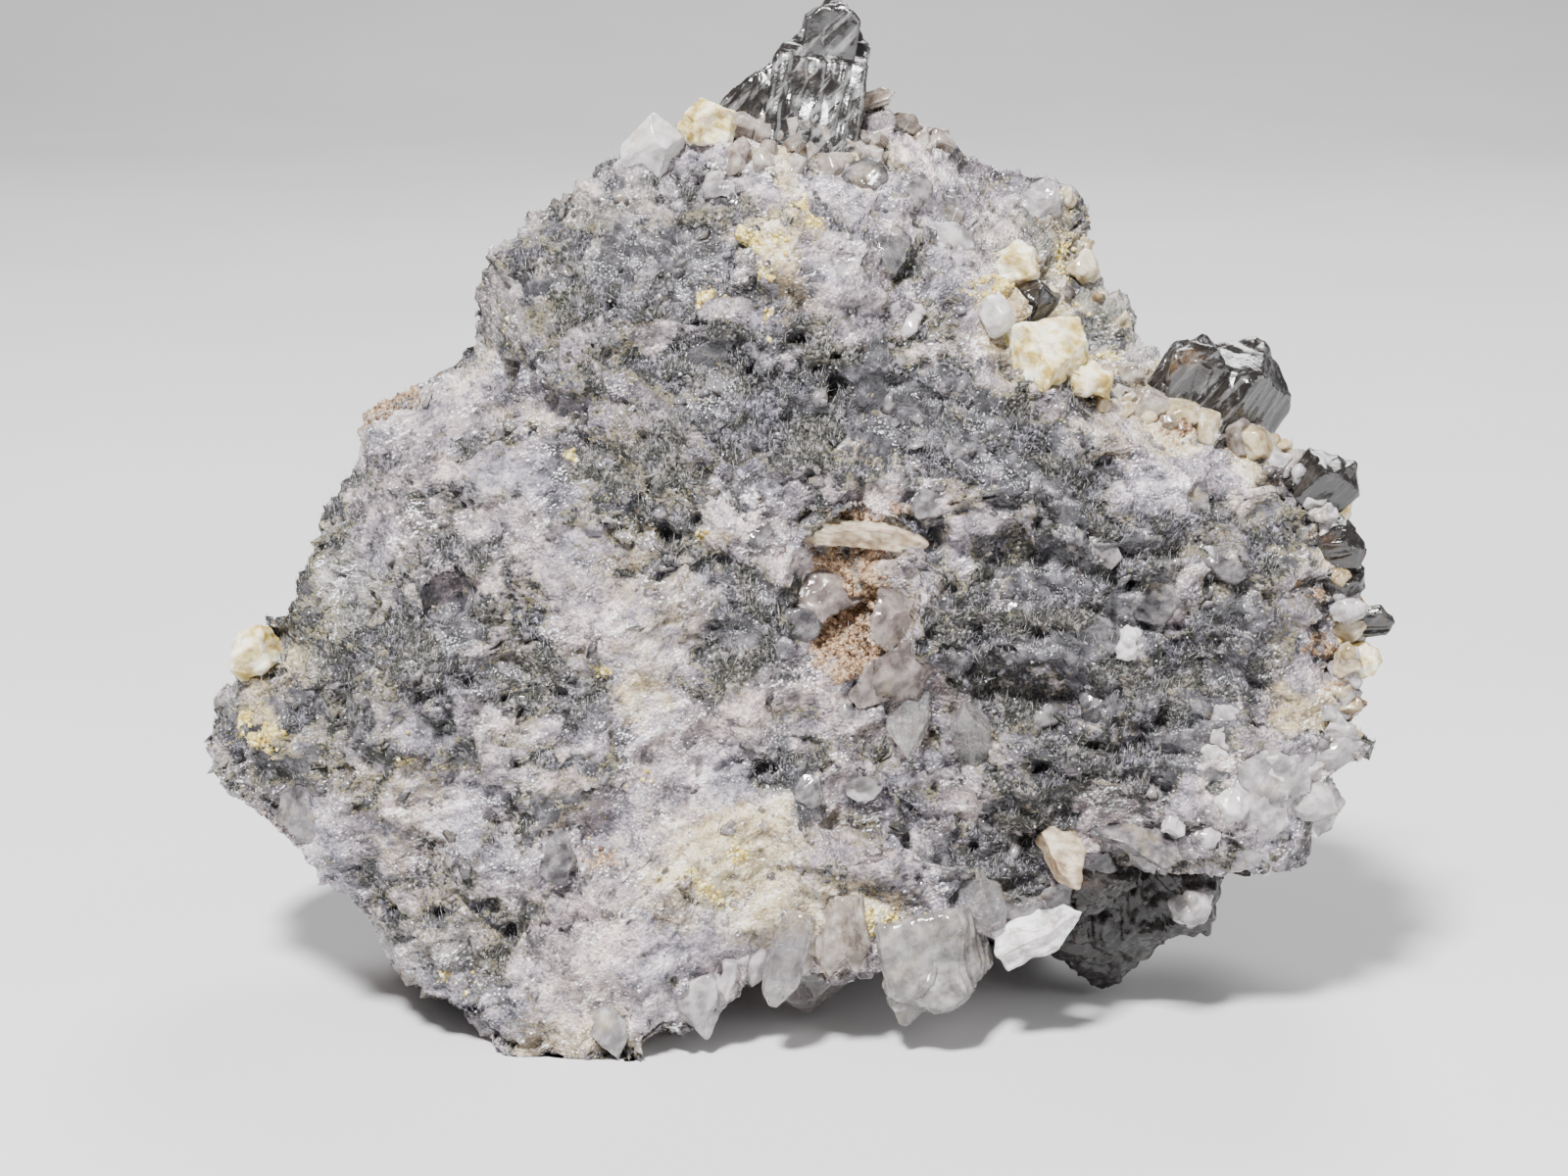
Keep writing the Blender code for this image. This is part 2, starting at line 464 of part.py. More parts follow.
# Quartz points fused to the rock: spot, axis, width and length.
FUSED_POINTS = [
    ((-4.6, -24.4, 2.6), (0.20, -0.95, -0.10), 3.0, 5.0), ((-9.8, -25.2, 3.0), (0.25, -0.90, -0.20), 2.6, 5.0),
    ((30.2, -12.2, 4.6), (0.80, -0.45, -0.20), 2.6, 4.6), ((31.6, -9.2, 4.6), (0.92, 0.05, -0.20), 2.6, 4.6),
    ((26.9, -14.9, 4.8), (0.40, -0.90, -0.10), 2.6, 4.6), ((24.0, -14.6, 4.6), (0.10, -0.98, -0.10), 2.4, 4.6),
    ((20.6, -14.8, 3.8), (0.30, -0.80, -0.50), 2.6, 4.6), ((11.6, -18.4, 3.4), (0.30, -0.90, -0.20), 2.6, 4.6),
    ((-1.6, -21.0, 3.2), (-0.10, -0.97, -0.10), 2.4, 4.4), ((14.6, 22.0, 15.0), (0.40, 0.80, -0.30), 3.0, 4.6),
    ((-2.8, 9.8, 22.6), (-0.30, 0.30, 0.90), 3.4, 7.0), ((14.4, 8.6, 20.8), (0.40, 0.20, 0.88), 3.4, 7.0),
    ((-10.4, 4.8, 22.8), (-0.25, 0.10, 0.95), 3.6, 7.0), ((-14.8, -8.4, 24.4), (-0.40, -0.20, 0.88), 3.6, 7.0),
    ((2.2, -7.2, 25.4), (0.10, -0.20, 0.96), 3.4, 7.0), ((17.4, -7.6, 23.6), (0.55, -0.20, 0.78), 3.4, 7.0),
    ((-0.6, 17.4, 20.4), (-0.05, 0.50, 0.84), 3.0, 6.4), ((9.0, 5.6, 23.4), (0.25, 0.30, 0.90), 2.8, 6.4),
    ((-20.6, 5.6, 18.6), (-0.60, 0.20, 0.76), 3.0, 6.4), ((1.8, -14.2, 24.6), (0.05, -0.45, 0.88), 3.0, 6.4),
]

FINISHES = {
    "rock": ((0.36, 0.36, 0.36), 0.75),
    "cassiterite": ((0.015, 0.012, 0.010), 0.18),
    "quartz": ((0.66, 0.65, 0.65), 0.25),
    "feldspar": ((0.72, 0.64, 0.46), 0.55),
}


def build():
    """Makes the rock, the points fused to it, every seated crystal and the sockets that hold them."""
    for old in list(bpy.data.objects):
        bpy.data.objects.remove(old)
    finishes = {name: material(name, *look) for name, look in FINISHES.items()}
    sockets, points = new_collection("sockets"), new_collection("fused_points")
    for name, finish, members in SEATED:
        made = [placed(name, *member) for member in members]
        bpy.context.scene.collection.objects.link(made[0])
        made[0].data.materials.append(finishes[finish])
        if len(made) > 1:
            twins = new_collection("twins_of_" + name)
            for twin in made[1:]:
                helper(twin, twins)
            combine(made[0], "UNION", twins)
        for member in members:
            helper(placed("socket_of_" + name, *member, margin=SOCKET_GAP), sockets)
    for k, (spot, axis, across, length) in enumerate(FUSED_POINTS):
        faces = prism((across, 0.85 * across), length, 6, 56.0, 0.08, 1.3 * k)
        helper(placed("point", faces, spot, axis, 25.0 * k), points)
    ground = bmesh.new()
    bmesh.ops.create_cube(ground, size=200 * MM, matrix=Matrix.Translation((0, 0, -100 * MM)))
    mesh = bpy.data.meshes.new("ground")
    ground.to_mesh(mesh)
    ground.free()
    helper(bpy.data.objects.new("ground", mesh), sockets)

    vertices, faces = rock_body()
    mesh = bpy.data.meshes.new("matrix")
    mesh.from_pydata(vertices * MM, [], faces.tolist())
    mesh.materials.append(finishes["rock"])
    rock = bpy.data.objects.new("matrix", mesh)
    bpy.context.scene.collection.objects.link(rock)
    combine(rock, "UNION", points)
    combine(rock, "DIFFERENCE", sockets)


build()
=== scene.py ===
import math

import bpy
import numpy as np
from mathutils import Matrix, Vector

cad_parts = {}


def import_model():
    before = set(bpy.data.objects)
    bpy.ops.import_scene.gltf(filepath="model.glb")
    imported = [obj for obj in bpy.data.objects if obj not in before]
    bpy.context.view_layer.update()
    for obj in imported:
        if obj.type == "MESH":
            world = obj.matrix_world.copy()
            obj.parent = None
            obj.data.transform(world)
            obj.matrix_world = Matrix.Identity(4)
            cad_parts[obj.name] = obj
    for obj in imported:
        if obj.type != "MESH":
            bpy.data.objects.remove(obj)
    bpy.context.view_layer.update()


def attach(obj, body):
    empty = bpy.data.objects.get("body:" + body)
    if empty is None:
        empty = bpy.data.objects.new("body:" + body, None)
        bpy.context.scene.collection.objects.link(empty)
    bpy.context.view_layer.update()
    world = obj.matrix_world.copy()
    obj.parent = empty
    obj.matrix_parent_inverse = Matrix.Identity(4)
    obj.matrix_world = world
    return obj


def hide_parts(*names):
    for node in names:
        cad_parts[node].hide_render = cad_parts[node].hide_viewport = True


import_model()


# The rock. One broken piece of quartz with dark tourmaline, grown as a whole and broken loose by hand.
# Its face and its back are two sheets of points that share one rim, both broken into scallops. Lengths are in
# millimetres: u and w run right and up the face, and d goes into it.
MM = 0.001
LEAN = math.radians(14.0)
READ_DISTANCE = 174.0
FACE_TO_FLOOR = 28.0
CENTRE = np.array([0.45, 12.24, 0.0])
BODY_DEPTH = 24.5
BODY_TAPER = 0.15
HEART = (0.0, -1.1)
ROCK_CELLS = 218
FACE_BEND = 5
WALL_REACH = 0.5
WALL_DEPTH = 0.6
BREAKS = [(2.0, 8.0, 1.2, 3), (0.9, 4.2, 1.3, 11)]
BACK_BREAKS = (3.0, 15.0, 1.6, 21)
UNDERSIDE_BREAKS = (0.9, 4.0, 1.0, 40)
SCALLOP_MIDDLE = 0.35
RIM_HOLD = 0.7
SHOULDER_FROM = (7.8, 27.4)
SHOULDER_TO = (15.4, 11.2)
SHOULDER_STEP = 8.0
SHOULDER_RUN = (0.0, 2.4)
SHOULDER_BASE = (9.5, 13.0)
FEET = [(-12.0, 4.4, 5.4), (13.0, 23.5, 5.6), (-13.5, 24.5, 6.0)]
FOOT_DIP = 0.8
FOOT_HEIGHT = (5.0, 9.0)
UNDERSIDE_GAP = 1.5
INLAND_REACH = 0.18
# u, w and depth of the rim, from its right end counter-clockwise.
RIM = [
    (33.0, -1.1, 5.0), (32.4, 1.7, 5.0), (31.6, 4.5, 5.5), (30.5, 6.4, 5.5), (28.7, 7.4, 6.0),
    (27.4, 8.7, 7.0), (25.2, 10.6, 8.0), (22.7, 12.6, 9.0), (20.4, 14.3, 12.0), (19.3, 16.5, 14.0),
    (17.6, 18.2, 15.0), (17.5, 21.3, 16.0), (16.5, 23.0, 16.0), (14.6, 23.8, 16.0), (12.3, 24.1, 14.0),
    (10.4, 25.2, 12.0), (8.4, 26.6, 9.0), (6.7, 27.6, 8.0), (1.7, 27.8, 8.0), (-3.1, 27.5, 7.5),
    (-6.4, 26.2, 6.5), (-9.2, 25.0, 6.0), (-11.8, 23.6, 5.5), (-13.7, 22.0, 5.5), (-16.0, 20.4, 5.5),
    (-17.2, 19.0, 5.5), (-17.9, 17.4, 6.0), (-18.1, 15.1, 7.0), (-18.4, 13.8, 8.0), (-20.4, 12.0, 8.5),
    (-22.7, 10.5, 9.0), (-24.2, 9.4, 9.0), (-24.4, 7.4, 8.0), (-25.5, 5.9, 7.5), (-26.9, 3.6, 7.0),
    (-28.1, 1.1, 7.0), (-28.9, -1.2, 7.5), (-30.4, -2.8, 9.0), (-31.1, -4.8, 9.0), (-32.8, -6.4, 9.0),
    (-33.5, -8.7, 9.5), (-33.2, -10.6, 9.0), (-31.6, -12.3, 8.0), (-29.8, -13.7, 6.5), (-28.0, -15.2, 5.5),
    (-25.5, -17.1, 5.0), (-24.1, -18.5, 4.5), (-22.7, -20.7, 4.0), (-20.4, -23.1, 4.0), (-17.9, -25.2, 3.5),
    (-15.8, -27.2, 3.0), (-13.4, -27.6, 3.0), (-11.2, -27.2, 2.5), (-8.7, -27.9, 2.5), (-7.4, -26.0, 2.5),
    (-5.6, -25.9, 2.5), (-3.6, -24.2, 2.5), (-1.7, -22.4, 2.5), (1.1, -22.4, 3.0), (3.6, -22.6, 3.0),
    (5.9, -22.0, 3.0), (9.0, -20.8, 3.5), (11.4, -20.0, 3.5), (13.6, -19.8, 4.0), (15.7, -18.6, 4.5),
    (17.9, -16.5, 5.0), (20.4, -15.7, 5.0), (23.2, -16.3, 5.0), (25.8, -16.2, 4.5), (28.3, -15.9, 4.0),
    (29.8, -14.3, 4.0), (30.1, -12.6, 4.0), (31.4, -10.9, 4.0), (33.6, -9.1, 4.0), (32.9, -7.6, 4.5),
    (32.7, -5.6, 5.0), (33.1, -3.4, 5.0),
]
# Swells and hollows of the face: u, w, half length, half width, turn in degrees, height.
SWELLS = [
    (-9.0, -2.2, 8.0, 4.2, 62.0, 1.3), (-12.4, 8.6, 6.0, 3.0, -20.0, -1.1), (3.4, 20.4, 8.0, 7.0, 0.0, 1.7),
    (-14.0, 18.3, 3.4, 2.2, 10.0, 1.0), (0.5, 10.8, 13.0, 3.2, -14.0, -1.4),
    (7.8, -2.4, 2.6, 3.6, 15.0, 1.6), (13.6, -6.4, 6.5, 2.8, 0.0, -1.7), (28.0, -11.2, 4.5, 5.0, 0.0, 1.0),
    (-15.7, -10.0, 3.4, 3.2, 0.0, 1.2), (-30.4, -7.6, 3.4, 3.0, 0.0, 1.4),
    (-30.0, -11.0, 2.2, 1.2, 20.0, -1.7), (-11.2, -14.6, 4.2, 2.4, 30.0, -1.2),
    (-4.8, -16.0, 6.0, 3.6, 20.0, 1.2), (11.2, -14.0, 5.0, 3.4, -20.0, -1.6),
    (12.4, 1.2, 5.0, 3.2, -10.0, -1.2), (20.0, 3.0, 6.0, 4.0, -30.0, 0.9),
    (-22.5, -4.5, 5.0, 6.0, 0.0, 0.9), (-19.3, -0.4, 1.4, 1.4, 0.0, -1.5),
    (24.0, -5.5, 4.5, 3.0, 10.0, -0.9), (-25.0, -14.0, 5.0, 2.6, 35.0, 0.8),
    (21.0, 8.4, 5.5, 2.0, -25.0, 1.3), (3.4, -13.4, 3.2, 2.4, 20.0, -1.3), (4.6, -10.4, 2.2, 1.8, 0.0, 1.3),
    (-21.0, 8.2, 3.6, 2.4, 40.0, 1.1), (3.7, -0.4, 3.6, 4.8, -18.0, -3.4),
]


def world(u, w, d):
    """Layout to room, in millimetres: depth d spreads u and w by 1 + d / READ_DISTANCE, then the face
    leans back by LEAN and stands FACE_TO_FLOOR up its own slope."""
    spread = 1 + np.asarray(d) / READ_DISTANCE
    across, up = u * spread, w * spread
    y = up * math.sin(LEAN) + d * math.cos(LEAN)
    z = (up + FACE_TO_FLOOR) * math.cos(LEAN) - d * math.sin(LEAN)
    return np.stack(np.broadcast_arrays(across, y, z), axis=-1)


def layout(points):
    """Room to layout, the inverse of world: depth is the way into the face, and u and w shrink with it."""
    x, y, z = np.moveaxis(points, -1, 0)
    z = z - FACE_TO_FLOOR * math.cos(LEAN)
    d = y * math.cos(LEAN) - z * math.sin(LEAN)
    spread = 1 + d / READ_DISTANCE
    return x / spread, (y * math.sin(LEAN) + z * math.cos(LEAN)) / spread, d


# Large whole numbers that mix a cell's place and its salt into one number of 24 bits.
CELL_STEPS = np.array([73856093, 19349663, 83492791])
SALT_STEP = 15485863
SHUFFLE = 1274126177
WHOLE = 0x7FFFFFFF
BITS = 0xFFFFFF


def scatter(cell, salt):
    """A repeatable number from 0 to 1 for each whole-numbered cell of space."""
    mixed = cell.astype(np.int64) @ CELL_STEPS + salt * SALT_STEP
    mixed = (mixed ^ (mixed >> 13)) * SHUFFLE & WHOLE
    return ((mixed ^ (mixed >> 15)) & BITS) / BITS


def scatter_way(cell, salt):
    """Three such numbers for each cell, as one vector."""
    return np.stack([scatter(cell, salt + k) for k in range(3)], axis=-1)


def neighbour_seeds(points, size, salt):
    """For the 27 cells round each point: the way from the cell's seed to the point, and the cell."""
    cell = np.floor(points / size)
    for shift in np.ndindex(3, 3, 3):
        near = cell + np.array(shift) - 1
        yield points / size - (near + scatter_way(near, salt)), near


def scallops(points, height, size, tilt, salt):
    """Broken rock: the lowest of shallow tilted bowls, one about each seed, which meet in sharp ridges."""
    lowest = np.full(len(points), np.inf)
    for away, near in neighbour_seeds(points, size, salt):
        slope = scatter_way(near, salt + 5) - 0.5
        lowest = np.minimum(lowest, (away**2).sum(axis=-1) + tilt * (away * slope).sum(axis=-1))
    return height * (lowest - SCALLOP_MIDDLE)


def soft_noise(points, size, salt):
    """Smooth noise from -1 to 1: random numbers at the corners of cells, blended by a smooth step."""
    cell = np.floor(points / size)
    part = points / size - cell
    part = part * part * (3 - 2 * part)
    total = 0
    for corner in np.ndindex(2, 2, 2):
        share = np.prod(np.where(corner, part, 1 - part), axis=-1)
        total = total + share * scatter(cell + np.array(corner), salt)
    return 2 * total - 1


def layered(points, layers):
    """Soft noises added up, each as (weight, size, salt)."""
    return sum(weight * soft_noise(points, size, salt) for weight, size, salt in layers)


def wander(points, size, salt):
    """Three soft noises as one vector, to move points about."""
    return np.stack([soft_noise(points, size, salt + k) for k in range(3)], axis=-1)


def swell(u, w, patch):
    """A rounded swell: height times (1 - r squared) to the power 1.5, with r = 1 at the patch's edge."""
    centre_u, centre_w, half_length, half_width, turn, height = patch
    angle = math.radians(turn)
    along = ((u - centre_u) * math.cos(angle) + (w - centre_w) * math.sin(angle)) / half_length
    across = ((w - centre_w) * math.cos(angle) - (u - centre_u) * math.sin(angle)) / half_width
    return height * np.clip(1 - along**2 - across**2, 0, 1) ** 1.5


def smooth_step(value, low, high):
    """0 below low, 1 above high, and an even curve between them."""
    share = np.clip((value - low) / (high - low), 0, 1)
    return share * share * (3 - 2 * share)


def shoulder(u, w):
    """How far the upper right shoulder steps back behind the face, past the line of its seam."""
    start, end = np.array(SHOULDER_FROM), np.array(SHOULDER_TO)
    run = (end - start) / np.linalg.norm(end - start)
    beyond = -(u - start[0]) * run[1] + (w - start[1]) * run[0]
    return SHOULDER_STEP * smooth_step(beyond, *SHOULDER_RUN) * smooth_step(w, *SHOULDER_BASE)


def square_rings(cells):
    """A square grid as rings: each point's ring, 0 at the middle and 1 at the rim, and its share of the
    way round, which is even along every ring."""
    line = np.linspace(-1, 1, cells + 1)
    a, b = np.meshgrid(line, line)
    ring = np.maximum(abs(a), abs(b))
    safe = np.where(ring == 0, 1, ring)
    side = np.where(a > 0, b / safe / 8, 0.5 - b / safe / 8)
    end = np.where(b > 0, 0.25 - a / safe / 8, 0.75 + a / safe / 8)
    return ring, np.where(abs(a) >= abs(b), side, end) % 1


def rim_at(share):
    """The rim's u, w and depth at a share of its length, straight between the points of RIM."""
    rim = np.array(RIM + RIM[:1])
    gone = np.concatenate([[0], np.cumsum(np.linalg.norm(np.diff(rim[:, :2], axis=0), axis=1))])
    return [np.interp(share, gone / gone[-1], rim[:, k]) for k in range(3)]


def front_sheet(ring, share):
    """The broken face: flat in the middle, bent back to the rim by ring to the power FACE_BEND."""
    rim_u, rim_w, rim_d = rim_at(share)
    u = HEART[0] + ring * (rim_u - HEART[0])
    w = HEART[1] + ring * (rim_w - HEART[1])
    bend = ring**FACE_BEND
    relief = sum(swell(u, w, patch) for patch in SWELLS)
    return world(u, w, rim_d * bend + (shoulder(u, w) - relief) * (1 - bend))


def back_sheet(ring, share):
    """The back: with t from 0 at the rim to 90 degrees at the middle, reach is cos t to the power
    WALL_REACH and depth is sin t to the power WALL_DEPTH, so a wall rounds over to the back."""
    rim_u, rim_w, rim_d = rim_at(share)
    turn = (1 - ring) * math.pi / 2
    reach = np.where(ring == 0, 0, np.cos(turn) ** WALL_REACH)
    u = HEART[0] + reach * (rim_u - HEART[0])
    w = HEART[1] + reach * (rim_w - HEART[1])
    return world(u, w, rim_d + (BODY_DEPTH - BODY_TAPER * w - rim_d) * np.sin(turn) ** WALL_DEPTH)


def triangles(index):
    """Two triangles for each cell of a grid of point numbers, split along the diagonal that turns in."""
    a, b, c, d = index[:-1, :-1], index[:-1, 1:], index[1:, 1:], index[1:, :-1]
    rows, columns = np.indices(a.shape)
    half = (index.shape[0] - 1) / 2
    inward = ((rows < half) == (columns < half))[..., None]
    first = np.where(inward, np.stack([a, b, c], -1), np.stack([a, b, d], -1))
    second = np.where(inward, np.stack([a, c, d], -1), np.stack([b, c, d], -1))
    return np.concatenate([first.reshape(-1, 3), second.reshape(-1, 3)])


def outward(points, faces):
    """The unit normal at each point: the sum of the normals of the triangles round it."""
    corners = points[faces]
    flat = np.cross(corners[:, 1] - corners[:, 0], corners[:, 2] - corners[:, 0])
    total = np.zeros_like(points)
    for k in range(3):
        for axis in range(3):
            total[:, axis] += np.bincount(faces[:, k], flat[:, axis], len(points))
    return total / np.maximum(np.linalg.norm(total, axis=1, keepdims=True), 1e-12)


def stand_on_feet(points, inland):
    """The underside: kept clear of the floor, apart from the feet, which are drawn down below it. Only the
    back moves, which inland marks by 1: 0 is the face and the rim."""
    clear = UNDERSIDE_GAP + scallops(points * [1, 1, 0], *UNDERSIDE_BREAKS)
    height = np.maximum(points[:, 2], clear)
    low = 1 - smooth_step(height, *FOOT_HEIGHT)
    for foot_u, foot_d, radius in FEET:
        floor_w = (foot_d * math.tan(LEAN) - FACE_TO_FLOOR) / (1 + foot_d / READ_DISTANCE)
        off = np.linalg.norm(points[:, :2] - world(foot_u, floor_w, foot_d)[:2], axis=1)
        foot = low * (1 - smooth_step(off, 0.5 * radius, radius))
        height = height - foot * (height + FOOT_DIP)
    return np.column_stack([points[:, :2], points[:, 2] + inland * (height - points[:, 2])])


def rock_form():
    """The rock's points in the layout's room, its triangles and each point's ring: both sheets, moved
    along their normals by the scallops that the solid has too."""
    ring, share = square_rings(ROCK_CELLS)
    front = np.arange(ring.size).reshape(ring.shape)
    inner = np.zeros_like(front, dtype=bool)
    inner[1:-1, 1:-1] = True
    back = front.copy()
    back[inner] = front.size + np.arange(inner.sum())
    points = np.concatenate([front_sheet(ring, share).reshape(-1, 3), back_sheet(ring, share)[inner]])
    faces = np.concatenate([triangles(front), triangles(back)[:, ::-1]])
    rings = np.concatenate([ring.reshape(-1), ring[inner]])
    on_back = np.arange(len(points)) >= front.size
    breaks = sum(scallops(points, *each) for each in BREAKS) + on_back * scallops(points, *BACK_BREAKS)
    points = points + outward(points, faces) * (breaks * (1 - RIM_HOLD * rings**8))[:, None]
    points = stand_on_feet(points, on_back * smooth_step(1 - rings, 0.0, INLAND_REACH))
    return points, faces


